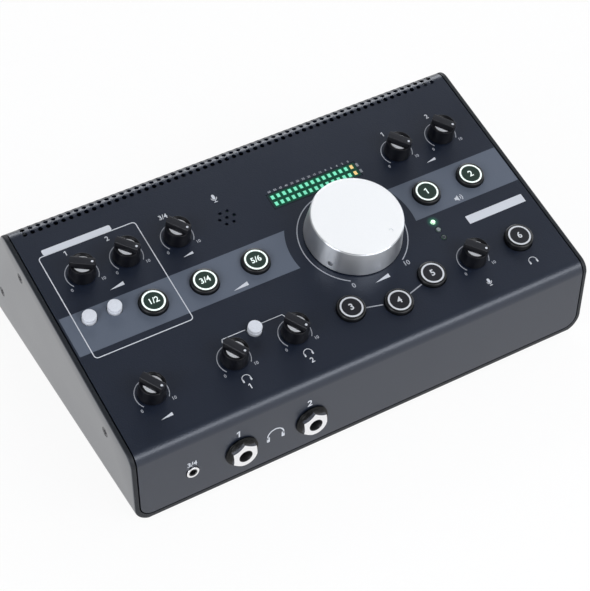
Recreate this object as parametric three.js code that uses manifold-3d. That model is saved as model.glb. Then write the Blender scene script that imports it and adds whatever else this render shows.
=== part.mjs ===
// A desktop studio monitor controller: a sheet metal chassis with a bent, vented cover, knobs, lit
// push buttons, jacks, two circuit boards and rubber feet. Units are millimetres, +X is to the right,
// +Y to the back and +Z up. The origin is the middle of the footprint, at the undersides of the feet.

import * as THREE from "three";
import { mergeVertices } from "three/addons/utils/BufferGeometryUtils.js";
import Module from "manifold-3d";

const wasm = await Module();
wasm.setup();

// Driving dimensions of the housing
const housingWidth = 290;
const housingDepth = 190; // at the floor
const frontHeight = 50.8; // from the floor's underside to where the front and the slope would meet
const slope = THREE.MathUtils.degToRad(13);
const backLean = THREE.MathUtils.degToRad(22); // the back face leans outwards to the floor
const footHeight = 3;
const footRadius = 7;
const footInset = 20; // from the housing's sides to a foot's centre
const chassisWall = 2.6;
const floorThickness = 2;
const lipHeight = 3.6; // raised rim of the floor at the front and the back
const lipDepth = 6;
const lowerBendRadius = 11;
const rimRounding = 1.1;
const sillBend = 2; // where the floor meets the front and the back, in the side view
const coverSheet = 1.5;
const coverGap = 0.8; // groove between the cover and the chassis
const frontBend = 8;
const backBend = 8.5;
const flangeDepth = 11;
const notchRadius = 1;
const flangeFrontShare = 0.07; // where the slope's side flanges start and end, along the slope
const flangeBackShare = 0.955;
const flangeFloorShare = 0.88; // length of the folds at the cover's lower edges, of the width
const ventPitch = 4.68;
const ventRadius = 1.4;
const ventSideMargin = 11.5; // from the housing's side to the first vent's centre
const ventFlatShare = 0.35; // how far a vent's flat runs to each side, of the turn from row to row

// Clearances
const seatGap = 0.3;
const runGap = 0.25;
const overrun = 5; // how far a cutter runs past what it cuts
const weldReach = 1e-4; // points nearer than this are one

// Boards
const boardThickness = 1.6;
const controlBoardDepth = 8.8; // from the cover's face to the control board's upper side
const controlBoardMargin = 9;
const controlBoardFront = 16; // up the slope
const controlBoardEnd = 24; // short of the back bend
const mainBoardHeight = 8; // over the floor's underside
const mainBoardMargin = 12;
const boardsGap = 10; // between the main board and the rear board
const rearBoardLow = 16; // up the back face
const rearBoardHigh = 52;
const standoffRadius = 3;
const capacitorRadius = 5;
const capacitorHeight = 16;
const heatSinkWidth = 34;
const heatSinkHeight = 20;
const heatSinkDepth = 11;
const heatSinkSheet = 2;
const heatSinkFins = 5;

// Small knobs and their pots
const knobRadius = 7.8;
const knobTopRadius = 7.1;
const knobLift = 0.6; // from the cover to the knob's skirt
const knobRim = 10.4; // heights over the cover from here on
const knobDish = 9.6;
const knobBarTop = 13.2;
const knobBarWidth = 4.4;
const knobBoreTop = 8.2;
const knobRecessTop = 3;
const knobRecessRadius = 5.6;
const shaftRadius = 3;
const bushingRadius = 4.4;
const bushingTop = 2.4;
const potSide = 10.4;
const potWellFloor = 0.6; // over the board
const pointerRadius = 5.2;
const pointerSize = 0.7;
const pointerDepth = 0.3;

// Volume knob and its pot
const volumeRadius = 28.2;
const volumeTopRadius = 26.6;
const volumeHeight = 18.2;
const volumeChamfer = 0.6;
const volumeLift = 0.8;
const volumeWall = 3.2;
const volumeRoof = 6;
const volumeBossRadius = 8.4;
const volumeBossLift = 4;
const volumeBoreTop = 15;
const volumePotSide = 16;
const volumeBushingRadius = 5;
const volumeBushingTop = 3.4;
const grubHeight = 5;
const grubRadius = 1.6;
const dimpleRadius = 0.9;
const dimplePlace = 20.4; // from the axis
const dimpleDepth = 0.5;

// Push buttons
const litRadius = 8.1;
const litTop = 2.7;
const cueTop = 4;
const litShoulder = 0.9;
const litSkirt = 3; // below the cover's face
const litTravel = 1.2;
const whiteRadius = 4.05;
const whiteTop = 3.9;
const whiteShoulder = 0.5;
const whiteSkirt = 2.2;
const whiteTravel = 2;
const buttonGap = 0.4;
const stemSide = 4;
const switchHeight = 4.3;
const switchWall = 1.6;

// Lights and the talkback microphone
const meterWidth = 58;
const meterHeight = 10.4;
const meterSheet = 1.2;
const statusRadius = 1.5;
const micHoleRadius = 1;
const micHoleCircle = 4.6;
const micHoles = 6; // round the one in the middle
const micRadius = 4.85;
const micHeight = 4.5;

// Quarter inch jacks
const jackBore = 3.3;
const jackNose = 4;
const jackMouth = 3.8; // the bore's chamfer at its mouth
const jackNutFlats = 14;
const jackNutProud = 5;
const jackWasher = 9.8;
const jackWasherSheet = 0.8;
const jackBodyWidth = 16;
const jackBodyRise = 8; // over the bore's axis
const jackBodyLength = 24;
const jackBoreLength = 21;
const rearNutProud = 3.6;
const rearWasher = 8.6;
const frontJackHeight = 22.8; // over the floor's underside
const rearJackHeight = 30; // up the back face

// 3.5 mm jack
const miniBore = 1.8;
const miniRing = 3.7;
const miniProud = 1;
const miniBody = 11;
const miniBodyLength = 13;

// Rear connectors
const comboRadius = 12;
const comboBodyWidth = 26;
const comboLatchWidth = 5;
const comboPinRadius = 1.5;
const comboPinCircle = 7.6;
const comboPinTurns = [-30, 90, 210];
const usbWidth = 12;
const usbHeight = 11;
const usbLength = 16;
const usbWall = 1.2;
const usbTongue = 3.2;
const usbTongueWidth = 5.6;
const dcWidth = 9;
const dcHeight = 11;
const dcLength = 13.5;
const dcBore = 3.1;
const dcPin = 1;
const rockerWidth = 19;
const rockerHeight = 13;
const rockerBezel = 1.8;
const rockerBezelSheet = 1.5;
const rockerBodyLength = 15;
const rockerTilt = THREE.MathUtils.degToRad(8);
const rockerProud = 4;

// Places on the slope, as shares of the housing's width from its middle and of the slope's length
// from the front corner. A knob's last number is its pointer's angle
const backRowShare = 0.7587;
const buttonRowShare = 0.5387;
const frontRowShare = 0.2114;
const knobShares = [
  ["gain_1", -0.4017, backRowShare, -31],
  ["gain_2", -0.3086, backRowShare, -48],
  ["line_trim", -0.2007, backRowShare, -53],
  ["monitor_a_trim", 0.2972, backRowShare, -51],
  ["monitor_b_trim", 0.4024, backRowShare, -52],
  ["talkback", 0.2979, frontRowShare, -48],
  ["phones_1", -0.2321, frontRowShare, -58],
  ["phones_2", -0.1028, frontRowShare, -58],
  ["direct_monitor", -0.4017, frontRowShare, -58],
];
const volumeShares = [0.1112, 0.494];
const volumePointer = -53;
const volumeGrubTurn = 211;
const litShares = [
  ["input_12", -0.3107, buttonRowShare],
  ["input_34", -0.2021, buttonRowShare],
  ["input_usb", -0.0921, buttonRowShare],
  ["monitor_a", 0.2966, buttonRowShare],
  ["monitor_b", 0.4007, buttonRowShare],
  ["mono", 0.0198, frontRowShare],
  ["mute", 0.1112, 0.1614],
  ["dim", 0.2026, frontRowShare],
  ["cue", 0.4052, frontRowShare],
];
const whiteShares = [
  ["phantom", -0.4334, 0.5763],
  ["stereo_pan", -0.3814, 0.5763],
  ["phones_source", -0.1676, 0.2852],
];
const meterShares = [0.1034, 0.7528];
const micShares = [-0.0917, 0.76];
const statusShares = [
  [0.2724, 0.4162],
  [0.2724, 0.3774],
  [0.2724, 0.3385],
];

// Places across the front and, seen from the front, across the back, as shares of the width
const phonesShares = [-0.279, -0.1293];
const miniShare = -0.3807;
const comboShares = [-0.3862, -0.269];
const rearJackShares = [
  ["line_jack_3", -0.1724],
  ["line_jack_4", -0.1],
  ["monitor_a_left_jack", -0.0138],
  ["monitor_a_right_jack", 0.0586],
  ["monitor_b_left_jack", 0.1379],
  ["monitor_b_right_jack", 0.2103],
];
const usbShare = 0.2862;
const dcShare = 0.3483;
const rockerShare = 0.4241;

// Places on the main board, as shares of the housing's width and of the board's depth
const capacitorShares = [
  [-0.331, 0.568],
  [-0.269, 0.568],
  [-0.1034, 0.649],
  [0.2138, 0.676],
  [0.2621, 0.676],
];
const heatSinkShares = [0.3655, 0.595];

// Round shapes' sides
const wheelSides = 36;
const buttonSides = 16;
const knobSides = 12;
const smallSides = 8;
const tinySides = 6;
const ventSides = 5;
const nutSides = 6;
const bendSteps = 5;
const rimSteps = 2;

// Derived sizes
const half = housingWidth / 2;
const coverHalf = half - chassisWall - coverGap;
const coverFoot = lipHeight + coverGap;
const cornerRadius = lowerBendRadius - lipHeight;
const up = Math.PI / 2 + slope; // the slope's normal in the side view, as an angle from +Y
const backTop =
  (housingDepth - frontHeight * Math.tan(backLean)) /
  (1 + Math.tan(slope) * Math.tan(backLean)); // where the slope and the back would meet
const slopeLength =
  backTop / Math.cos(slope) - backBend * Math.tan((up - backLean) / 2);
const backBendCentre = [
  slopeLength * Math.cos(slope) + backBend * Math.sin(slope),
  frontHeight + slopeLength * Math.sin(slope) - backBend * Math.cos(slope),
];
const frontBendCentre = [
  frontBend,
  frontHeight - frontBend * Math.tan((Math.PI / 2 - slope) / 2),
];
const ventTurn = ventPitch / backBend; // from one row of vents to the next, round the bend
const ventRows = Math.floor((up - backLean) / ventTurn) + 1;
const sillReach = (sillBend * (1 + Math.sin(backLean))) / Math.cos(backLean);
const rearmost = housingDepth - sillReach + sillBend; // of the chassis
const skin = coverSheet + seatGap; // from the cover's face to what sits under it
const boardFace = -controlBoardDepth;
const mainBoardTop = mainBoardHeight + boardThickness;
const frontDrop = frontJackHeight - mainBoardTop - seatGap; // from the front jacks' axis to it
const rearBoardFace = -skin - jackBodyLength - seatGap; // from the back face, outwards
const mainBoardBack =
  housingDepth -
  rearBoardLow * Math.sin(backLean) +
  (rearBoardFace - boardThickness) * Math.cos(backLean) -
  boardsGap;
const middle = (rearmost - jackNutProud) / 2;

// Turns a geometry into a closed solid
function solid(geometry, ...moves) {
  const shape = geometry.clone();
  for (const name of ["normal", "uv"]) shape.deleteAttribute(name);
  for (const move of moves) shape.applyMatrix4(move);
  const merged = mergeVertices(shape, weldReach);
  return new wasm.Manifold(
    new wasm.Mesh({
      numProp: 3,
      vertProperties: new Float32Array(merged.attributes.position.array),
      triVerts: new Uint32Array(merged.index.array),
    }),
  );
}

const joined = (first, ...others) => others.reduce((whole, next) => whole.add(next), first);
const cut = (first, ...tools) => tools.reduce((whole, tool) => whole.subtract(tool), first);

function geometryOf(body) {
  const mesh = body.getMesh();
  const places = new Float32Array(mesh.numVert * 3);
  for (let i = 0; i < mesh.numVert; i++) {
    places.set(mesh.vertProperties.subarray(i * mesh.numProp, i * mesh.numProp + 3), i * 3);
  }
  const geometry = new THREE.BufferGeometry();
  geometry.setAttribute("position", new THREE.BufferAttribute(places, 3));
  geometry.setIndex(new THREE.BufferAttribute(new Uint32Array(mesh.triVerts), 1));
  geometry.computeVertexNormals();
  return geometry;
}

const shift = (x, y, z) => new THREE.Matrix4().makeTranslation(x, y, z);
const turnX = (angle) => new THREE.Matrix4().makeRotationX(angle);
const turnY = (angle) => new THREE.Matrix4().makeRotationY(angle);
const turnZ = (angle) => new THREE.Matrix4().makeRotationZ(angle);
const onSlope = shift(0, 0, frontHeight).multiply(turnX(slope));
const onBack = shift(0, housingDepth, 0)
  .multiply(turnX(backLean - Math.PI / 2))
  .multiply(turnZ(Math.PI)); // x to the left seen from the front, y up the back face, z out of it
const placed = ([x, y]) => [x * housingWidth, y * slopeLength]; // from shares, on the slope
const sideways = new THREE.Matrix4().makeBasis(
  new THREE.Vector3(0, 1, 0),
  new THREE.Vector3(0, 0, 1),
  new THREE.Vector3(1, 0, 0),
);

// A block between two corners
function block(low, high, ...moves) {
  const size = high.map((v, i) => v - low[i]);
  const centre = high.map((v, i) => (v + low[i]) / 2);
  return solid(new THREE.BoxGeometry(...size), shift(...centre), ...moves);
}

// A turned piece: points of [radius, height] from the axis round to the axis, about z
function turned(points, sides, ...moves) {
  const profile = points.map(([r, z]) => new THREE.Vector2(r, z));
  return solid(new THREE.LatheGeometry(profile, sides), turnX(Math.PI / 2), ...moves);
}

function rod(radius, low, high, sides, ...moves) {
  const points = [
    [0, low],
    [radius, low],
    [radius, high],
    [0, high],
  ];
  return turned(points, sides, ...moves);
}

// A prism of a closed outline of [a, b] points
function prism(points, depth, rounding = 0) {
  const outline = new THREE.Shape(points.map(([a, b]) => new THREE.Vector2(a, b)));
  const geometry = new THREE.ExtrudeGeometry(outline, {
    depth: depth - 2 * rounding,
    bevelEnabled: rounding > 0,
    bevelThickness: rounding,
    bevelSize: rounding,
    bevelOffset: -rounding,
    bevelSegments: rimSteps,
  });
  return geometry.translate(0, 0, rounding);
}

const alongX = (points, low, high, rounding) =>
  solid(prism(points, high - low, rounding), sideways, shift(low, 0, 0));
const alongY = (points, low, high, rounding) =>
  solid(prism(points, high - low, rounding), turnX(Math.PI / 2), shift(0, high, 0));

// Points of a round corner about a centre
function arc(y, z, radius, from, to, steps = bendSteps) {
  const points = [];
  for (let i = 0; i <= steps; i++) {
    const angle = from + ((to - from) * i) / steps;
    points.push([y + radius * Math.cos(angle), z + radius * Math.sin(angle)]);
  }
  return points;
}

// The back bend in the side view, a distance inside the cover's face: a flat under each row of
// vents touches the bend's arc, and so do the slope and the back face at its ends
function backBendPath(inset) {
  const points = [];
  const corner = (turn, lean) => {
    const radius = (backBend - inset) / Math.cos(lean);
    const [y, z] = backBendCentre;
    points.push([y + radius * Math.cos(up - turn), z + radius * Math.sin(up - turn)]);
  };
  const flat = ventTurn * ventFlatShare;
  for (let row = 1; row < ventRows; row++) {
    corner((row - 1) * ventTurn + flat, flat);
    corner(row * ventTurn - flat, flat);
  }
  const last = (ventRows - 1) * ventTurn;
  const lean = (up - backLean - last) / 2;
  corner(last + lean, lean);
  return points;
}

// The side view's path over front, slope and back, a distance inside the cover's face,
// from its lower end at the front to its lower end at the back
function wrap(inset, low) {
  return [
    [inset, low],
    ...arc(...frontBendCentre, frontBend - inset, Math.PI, up),
    ...backBendPath(inset),
    [housingDepth - low * Math.tan(backLean) - inset / Math.cos(backLean), low],
  ];
}

// The chassis's side view: the same path closed along the floor, with round lower corners
function sideView() {
  const front = arc(sillBend, sillBend, sillBend, -Math.PI / 2, -Math.PI);
  const rear = arc(housingDepth - sillReach, sillBend, sillBend, backLean, -Math.PI / 2);
  return [...front, ...wrap(0, sillBend).slice(1, -1), ...rear];
}

// The front view's outline: straight sides, open corners above, round corners below
function tub(halfWidth, floor, radius, top) {
  return [
    ...arc(halfWidth - radius, floor + radius, radius, -Math.PI / 2, 0),
    [halfWidth, top],
    [-halfWidth, top],
    ...arc(radius - halfWidth, floor + radius, radius, -Math.PI, -Math.PI / 2),
  ];
}

const paint = {
  sheet: { color: 0x2c2d36, roughness: 0.45, metalness: 0.2 },
  chassis: { color: 0x3a3d42, roughness: 0.5, metalness: 0.2 },
  aluminium: { color: 0xd4d6da, roughness: 0.22, metalness: 1 },
  knob: { color: 0x101114, roughness: 0.25, metalness: 0 },
  cap: { color: 0x1f332b, roughness: 0.35, metalness: 0 },
  white: { color: 0xdfe3e6, roughness: 0.5, metalness: 0 },
  steel: { color: 0xb8bbc0, roughness: 0.3, metalness: 1 },
  plastic: { color: 0x17181a, roughness: 0.6, metalness: 0 },
  board: { color: 0x1d5a36, roughness: 0.5, metalness: 0 },
  rubber: { color: 0x151515, roughness: 0.9, metalness: 0 },
  glass: { color: 0x10241c, roughness: 0.1, metalness: 0 },
};

const part = new THREE.Group();
const housing = new THREE.Group();
housing.position.set(0, -middle, footHeight);
part.add(housing);
const panel = new THREE.Group();
panel.position.set(0, 0, frontHeight);
panel.rotation.x = slope;
housing.add(panel);
const back = new THREE.Group();
back.position.set(0, housingDepth, 0);
back.rotation.set(backLean - Math.PI / 2, 0, Math.PI);
housing.add(back);

function piece(name, body, finish, parent = housing) {
  const mesh = new THREE.Mesh(geometryOf(body), new THREE.MeshStandardMaterial(paint[finish]));
  mesh.name = name;
  parent.add(mesh);
  return mesh;
}

// A group at a place on the slope, where z is the height over the cover
function station(shares) {
  const group = new THREE.Group();
  group.position.set(...placed(shares), 0);
  panel.add(group);
  return group;
}

// Chassis: the side view's outline crossed with the front view's, hollowed to a tray
function chassis() {
  const high = frontHeight + housingDepth;
  const sides = alongX(sideView(), -half, half, rimRounding);
  const front = alongY(tub(half, 0, lowerBendRadius, high), 0, housingDepth, rimRounding);
  const inner = half - chassisWall;
  const bend = lowerBendRadius - chassisWall;
  const tray = tub(inner, floorThickness, bend, high + overrun);
  const mouth = tub(inner, lipHeight, bend, high + overrun);
  return cut(
    sides.intersect(front),
    alongY(tray, lipDepth, housingDepth - lipDepth),
    alongY(mouth, -overrun, housingDepth + overrun),
  );
}

// Feet, each hollowed for its screw
function foot() {
  const hollow = footRadius / 2;
  const points = [
    [0, footHeight / 2],
    [hollow, footHeight / 2],
    [hollow, 0],
    [footRadius - rimRounding, 0],
    [footRadius, footHeight - rimRounding],
    [footRadius, footHeight],
    [0, footHeight],
  ];
  return turned(points, knobSides);
}

// A flange along each edge of the slope and one along each lower edge
function flanges() {
  const pieces = [];
  const from = slopeLength * flangeFrontShare + notchRadius;
  const to = slopeLength * flangeBackShare - notchRadius;
  for (const left of [-coverHalf, coverHalf - coverSheet]) {
    const low = [left, from, -flangeDepth];
    pieces.push(block(low, [left + coverSheet, to, -coverSheet / 2], onSlope));
  }
  const run = (coverHalf - cornerRadius) * flangeFloorShare;
  const heel = housingDepth - (coverFoot + coverSheet) * Math.tan(backLean);
  for (const [near, far] of [
    [coverSheet / 2, flangeDepth],
    [heel - flangeDepth, heel - coverSheet / 2],
  ]) {
    pieces.push(block([-run, near, coverFoot], [run, far, coverFoot + coverSheet]));
  }
  return pieces;
}

// Relief notches, where the flanges' bends end
function notches() {
  const tools = [];
  for (const side of [-1, 1]) {
    for (const share of [flangeFrontShare, flangeBackShare]) {
      const bite = rod(notchRadius, -flangeDepth - overrun, overrun, smallSides);
      tools.push(moved(bite, side * coverHalf, slopeLength * share, 0, onSlope));
    }
    const run = (coverHalf - cornerRadius) * flangeFloorShare + notchRadius;
    const bite = solid(
      new THREE.CylinderGeometry(notchRadius, notchRadius, housingDepth + overrun, smallSides),
      shift(side * run, housingDepth / 2, coverFoot),
    );
    tools.push(bite);
  }
  return tools;
}

// A copy of a solid, shifted and then taken along by a matrix
function moved(body, x, y, z, matrix = new THREE.Matrix4()) {
  return body.transform(matrix.clone().multiply(shift(x, y, z)).toArray());
}

// Rows of vents round the back bend, a pitch apart along its face
function vents() {
  const count = Math.floor((housingWidth - 2 * ventSideMargin) / ventPitch) + 1;
  const first = -((count - 1) * ventPitch) / 2;
  const tools = [];
  const hole = rod(ventRadius, backBend / 2, backBend + overrun, ventSides);
  for (let row = 0; row < ventRows; row++) {
    const bend = onSlope
      .clone()
      .multiply(shift(0, slopeLength, -backBend))
      .multiply(turnX(-row * ventTurn));
    for (let i = 0; i < count; i++) {
      tools.push(moved(hole, first + i * ventPitch, 0, 0, bend));
    }
  }
  return tools;
}

// Cutters through the cover's front and back, each for a piece of the size given
function frontBore(share, radius) {
  const hole = rod(radius + seatGap, -overrun, overrun, knobSides, turnX(Math.PI / 2));
  return moved(hole, share * housingWidth, 0, frontJackHeight);
}
function backBore(share, radius, sides) {
  const hole = rod(radius + seatGap, -overrun, overrun, sides);
  return moved(hole, -share * housingWidth, rearJackHeight, 0, onBack);
}
function backSlot(share, width, height) {
  const side = width / 2 + seatGap;
  const rise = height / 2 + seatGap;
  const hole = block([-side, -rise, -overrun], [side, rise, overrun]);
  return moved(hole, -share * housingWidth, rearJackHeight, 0, onBack);
}

// Every hole through the slope, front and back of the cover
function coverHoles() {
  const tools = [];
  const bore = ([x, y], radius, sides) => {
    tools.push(moved(rod(radius, -overrun, overrun, sides), x, y, 0, onSlope));
  };
  for (const [, ...at] of knobShares) bore(placed(at), bushingRadius + buttonGap, smallSides);
  for (const [, ...at] of litShares) bore(placed(at), litRadius + buttonGap, buttonSides);
  for (const [, ...at] of whiteShares) bore(placed(at), whiteRadius + buttonGap, knobSides);
  bore(placed(volumeShares), volumeBushingRadius + buttonGap, knobSides);
  for (const at of statusShares) bore(placed(at), statusRadius + runGap, smallSides);
  const mic = placed(micShares);
  bore(mic, micHoleRadius, tinySides);
  for (let i = 0; i < micHoles; i++) {
    const turn = (2 * Math.PI * i) / micHoles;
    const hole = [mic[0] + micHoleCircle * Math.cos(turn), mic[1] + micHoleCircle * Math.sin(turn)];
    bore(hole, micHoleRadius, tinySides);
  }
  const [x, y] = placed(meterShares);
  const side = meterWidth / 2 + seatGap;
  const rise = meterHeight / 2 + seatGap;
  tools.push(block([x - side, y - rise, -overrun], [x + side, y + rise, overrun], onSlope));
  for (const share of phonesShares) tools.push(frontBore(share, jackNose));
  tools.push(frontBore(miniShare, miniRing));
  for (const share of comboShares) tools.push(backBore(share, comboRadius, buttonSides));
  for (const [, share] of rearJackShares) tools.push(backBore(share, jackNose, smallSides));
  tools.push(backSlot(usbShare, usbWidth, usbHeight));
  tools.push(backSlot(dcShare, dcWidth, dcHeight));
  tools.push(backSlot(rockerShare, rockerWidth, rockerHeight));
  return tools;
}

function cover() {
  const outer = wrap(0, coverFoot);
  const inner = wrap(coverSheet, coverFoot).reverse();
  const bent = alongX([...outer, ...inner], -coverHalf, coverHalf);
  const high = frontHeight + housingDepth;
  const corners = alongY(
    tub(coverHalf, coverFoot, cornerRadius, high),
    -overrun,
    housingDepth + overrun,
  );
  const shell = joined(bent, ...flanges()).intersect(corners);
  return cut(shell, ...notches(), ...coverHoles(), ...vents());
}

// Small knob: a tapered skirt, a dished top and a grip bar across it
function knob(pointer) {
  const body = turned(
    [
      [0, knobBoreTop],
      [shaftRadius + runGap, knobBoreTop],
      [shaftRadius + runGap, knobRecessTop],
      [knobRecessRadius, knobRecessTop],
      [knobRecessRadius, knobLift],
      [knobRadius, knobLift],
      [knobTopRadius, knobRim],
      [knobRecessRadius, knobDish],
      [0, knobDish],
    ],
    knobSides,
  );
  const low = (knobBoreTop + knobDish) / 2;
  const bar = block(
    [-knobRadius, -knobBarWidth / 2, low],
    [knobRadius, knobBarWidth / 2, knobBarTop],
  ).intersect(rod(knobTopRadius, 0, knobBarTop + overrun, knobSides));
  const dot = rod(
    pointerSize,
    knobBarTop - pointerDepth,
    knobBarTop + overrun,
    tinySides,
    shift(pointerRadius, 0, 0),
  );
  const turn = turnZ(THREE.MathUtils.degToRad(pointer));
  return cut(joined(body, bar), dot).transform(turn.toArray());
}

function volumeKnob() {
  const inside = volumeRadius - volumeWall;
  const body = turned(
    [
      [0, volumeBoreTop],
      [shaftRadius + runGap, volumeBoreTop],
      [shaftRadius + runGap, volumeBossLift],
      [volumeBossRadius, volumeBossLift],
      [volumeBossRadius, volumeHeight - volumeRoof],
      [inside - volumeRadius + volumeTopRadius, volumeHeight - volumeRoof],
      [inside, volumeLift],
      [volumeRadius, volumeLift],
      [volumeTopRadius, volumeHeight - volumeChamfer],
      [volumeTopRadius - volumeChamfer, volumeHeight],
      [0, volumeHeight],
    ],
    wheelSides,
  );
  const grub = rod(
    grubRadius,
    volumeBossRadius,
    volumeRadius + overrun,
    tinySides,
    turnY(Math.PI / 2),
    shift(0, 0, grubHeight),
    turnZ(THREE.MathUtils.degToRad(volumeGrubTurn)),
  );
  const dimple = rod(
    dimpleRadius,
    volumeHeight - dimpleDepth,
    volumeHeight + overrun,
    tinySides,
    shift(dimplePlace, 0, 0),
    turnZ(THREE.MathUtils.degToRad(volumePointer)),
  );
  return cut(body, grub, dimple);
}

// A button cap with a stem that slides in its switch
function button(radius, top, shoulder, skirt, travel, sides) {
  const cap = turned(
    [
      [0, -skirt],
      [radius, -skirt],
      [radius, top - shoulder],
      [radius - shoulder, top],
      [0, top],
    ],
    sides,
  );
  const stem = stemSide / 2;
  const tip = boardFace + travel + 2 * seatGap;
  return joined(cap, block([-stem, -stem, tip], [stem, stem, -skirt + seatGap]));
}

// A switch body with its well
function switchBody() {
  const side = stemSide / 2 + runGap + switchWall;
  const well = stemSide / 2 + runGap;
  const top = boardFace + switchHeight;
  return cut(
    block([-side, -side, boardFace - boardThickness / 2], [side, side, top]),
    block([-well, -well, boardFace + seatGap], [well, well, top + overrun]),
  );
}

function potBody() {
  const side = potSide / 2;
  const can = block([-side, -side, boardFace - boardThickness / 2], [side, side, -skin]);
  const bushing = rod(bushingRadius, -skin - seatGap, bushingTop, smallSides);
  const well = rod(shaftRadius + runGap, boardFace + potWellFloor, bushingTop + overrun, smallSides);
  return cut(joined(can, bushing), well);
}

function volumePot() {
  const side = volumePotSide / 2;
  const base = boardFace + seatGap;
  const can = block([-side, -side, base], [side, side, -skin]);
  const bushing = rod(volumeBushingRadius, -skin - seatGap, volumeBushingTop, knobSides);
  const well = rod(
    shaftRadius + runGap,
    base + potWellFloor,
    volumeBushingTop + overrun,
    smallSides,
  );
  return cut(joined(can, bushing), well);
}

// Control board: the pots' and switches' bodies and the status lights stand on it
function controlBoard() {
  const side = coverHalf - controlBoardMargin;
  const bodies = [
    block(
      [-side, controlBoardFront, boardFace - boardThickness],
      [side, slopeLength - controlBoardEnd, boardFace],
    ),
  ];
  for (const [, ...at] of knobShares) bodies.push(moved(potBody(), ...placed(at), 0));
  for (const [, ...at] of [...litShares, ...whiteShares]) {
    bodies.push(moved(switchBody(), ...placed(at), 0));
  }
  const light = rod(statusRadius, boardFace - seatGap, seatGap, smallSides);
  for (const at of statusShares) bodies.push(moved(light, ...placed(at), 0));
  return joined(...bodies);
}

// Two rows of lights in one block under the meter's window
function meterLights() {
  const side = meterWidth / 2;
  const top = -meterSheet - seatGap;
  return block([-side, -meterHeight / 2, boardFace + seatGap], [side, meterHeight / 2, top]);
}

// Main board on six standoffs, with its capacitors and the supply's heat sink
function mainBoard() {
  const side = half - chassisWall - mainBoardMargin;
  const top = mainBoardTop;
  const bodies = [block([-side, mainBoardMargin, mainBoardHeight], [side, mainBoardBack, top])];
  for (const x of [mainBoardMargin - side, 0, side - mainBoardMargin]) {
    for (const y of [2 * mainBoardMargin, mainBoardBack - mainBoardMargin]) {
      const low = floorThickness + seatGap;
      const high = top - boardThickness / 2;
      bodies.push(rod(standoffRadius, low, high, tinySides, shift(x, y, 0)));
    }
  }
  const can = rod(capacitorRadius, top - seatGap, top + capacitorHeight, smallSides);
  for (const [x, y] of capacitorShares) {
    bodies.push(moved(can, x * housingWidth, y * mainBoardBack, 0));
  }
  const x = heatSinkShares[0] * housingWidth;
  const y = heatSinkShares[1] * mainBoardBack;
  const base = [x - heatSinkWidth / 2, y, top - seatGap];
  bodies.push(block(base, [x + heatSinkWidth / 2, y + heatSinkSheet, top + heatSinkHeight]));
  for (let i = 0; i < heatSinkFins; i++) {
    const left = base[0] + (i * (heatSinkWidth - heatSinkSheet)) / (heatSinkFins - 1);
    bodies.push(
      block(
        [left, y, top - seatGap],
        [left + heatSinkSheet, y + heatSinkDepth, top + heatSinkHeight],
      ),
    );
  }
  return joined(...bodies);
}

// Rear board, along the back face under the rear connectors' bodies
function rearBoard() {
  const side = half - chassisWall - mainBoardMargin;
  const low = [-side, rearBoardLow, rearBoardFace - boardThickness];
  return block(low, [side, rearBoardHigh, rearBoardFace]);
}

// A quarter inch jack, its axis along z and its mouth up: body, nose, washer and nut, with the
// cover's face at z = 0
function phoneJack(proud, washer, drop) {
  const side = jackBodyWidth / 2;
  const body = block([-side, -drop, -skin - jackBodyLength], [side, jackBodyRise, -skin]);
  const nose = rod(jackNose, -skin - seatGap, proud, smallSides);
  const ring = rod(washer, seatGap, seatGap + jackWasherSheet, knobSides);
  const nut = rod(jackNutFlats / 2 / Math.cos(Math.PI / nutSides), seatGap, proud, nutSides);
  const bore = turned(
    [
      [0, proud - jackBoreLength],
      [jackBore, proud - jackBoreLength],
      [jackBore, proud + jackBore - jackMouth],
      [jackMouth, proud],
      [jackMouth, proud + overrun],
      [0, proud + overrun],
    ],
    smallSides,
  );
  return cut(joined(body, nose, ring, nut), bore);
}

function miniJack() {
  const side = miniBody / 2;
  const body = block([-side, -frontDrop, -skin - miniBodyLength], [side, side, -skin]);
  const nose = rod(miniRing, -skin - seatGap, miniProud, smallSides);
  const bore = rod(miniBore, -miniBodyLength, miniProud + overrun, smallSides);
  return cut(joined(body, nose), bore);
}

// Combined input jack: a round face with a quarter inch bore and three pin holes
function comboJack() {
  const side = comboBodyWidth / 2;
  const body = block([-side, -side, -skin - jackBodyLength], [side, side, -skin]);
  const face = rod(comboRadius, -skin - seatGap, 0, buttonSides);
  const tools = [rod(jackBore, -jackBoreLength, overrun, smallSides)];
  for (const turn of comboPinTurns) {
    const angle = THREE.MathUtils.degToRad(turn);
    const x = comboPinCircle * Math.cos(angle);
    const y = -comboPinCircle * Math.sin(angle);
    tools.push(rod(comboPinRadius, -jackBodyLength / 2, overrun, tinySides, shift(x, y, 0)));
  }
  const latch = comboLatchWidth / 2;
  tools.push(
    block([-latch, comboRadius - coverSheet, -skin], [latch, comboRadius + overrun, overrun]),
  );
  return cut(joined(body, face), ...tools);
}

function usbSocket() {
  const side = usbWidth / 2;
  const rise = usbHeight / 2;
  const shell = block([-side, -rise, -usbLength], [side, rise, 0]);
  const hollow = block(
    [usbWall - side, usbWall - rise, usbWall - usbLength],
    [side - usbWall, rise - usbWall, overrun],
  );
  const tongue = block(
    [-usbTongueWidth / 2, -usbTongue / 2, -usbLength + usbWall / 2],
    [usbTongueWidth / 2, usbTongue / 2, -usbWall],
  );
  return joined(cut(shell, hollow), tongue);
}

function dcInlet() {
  const side = dcWidth / 2;
  const rise = dcHeight / 2;
  const body = block([-side, -rise, -dcLength], [side, rise, 0]);
  const bore = rod(dcBore, usbWall - dcLength, overrun, smallSides);
  const pin = rod(dcPin, usbWall / 2 - dcLength, -usbWall, smallSides);
  return joined(cut(body, bore), pin);
}

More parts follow.
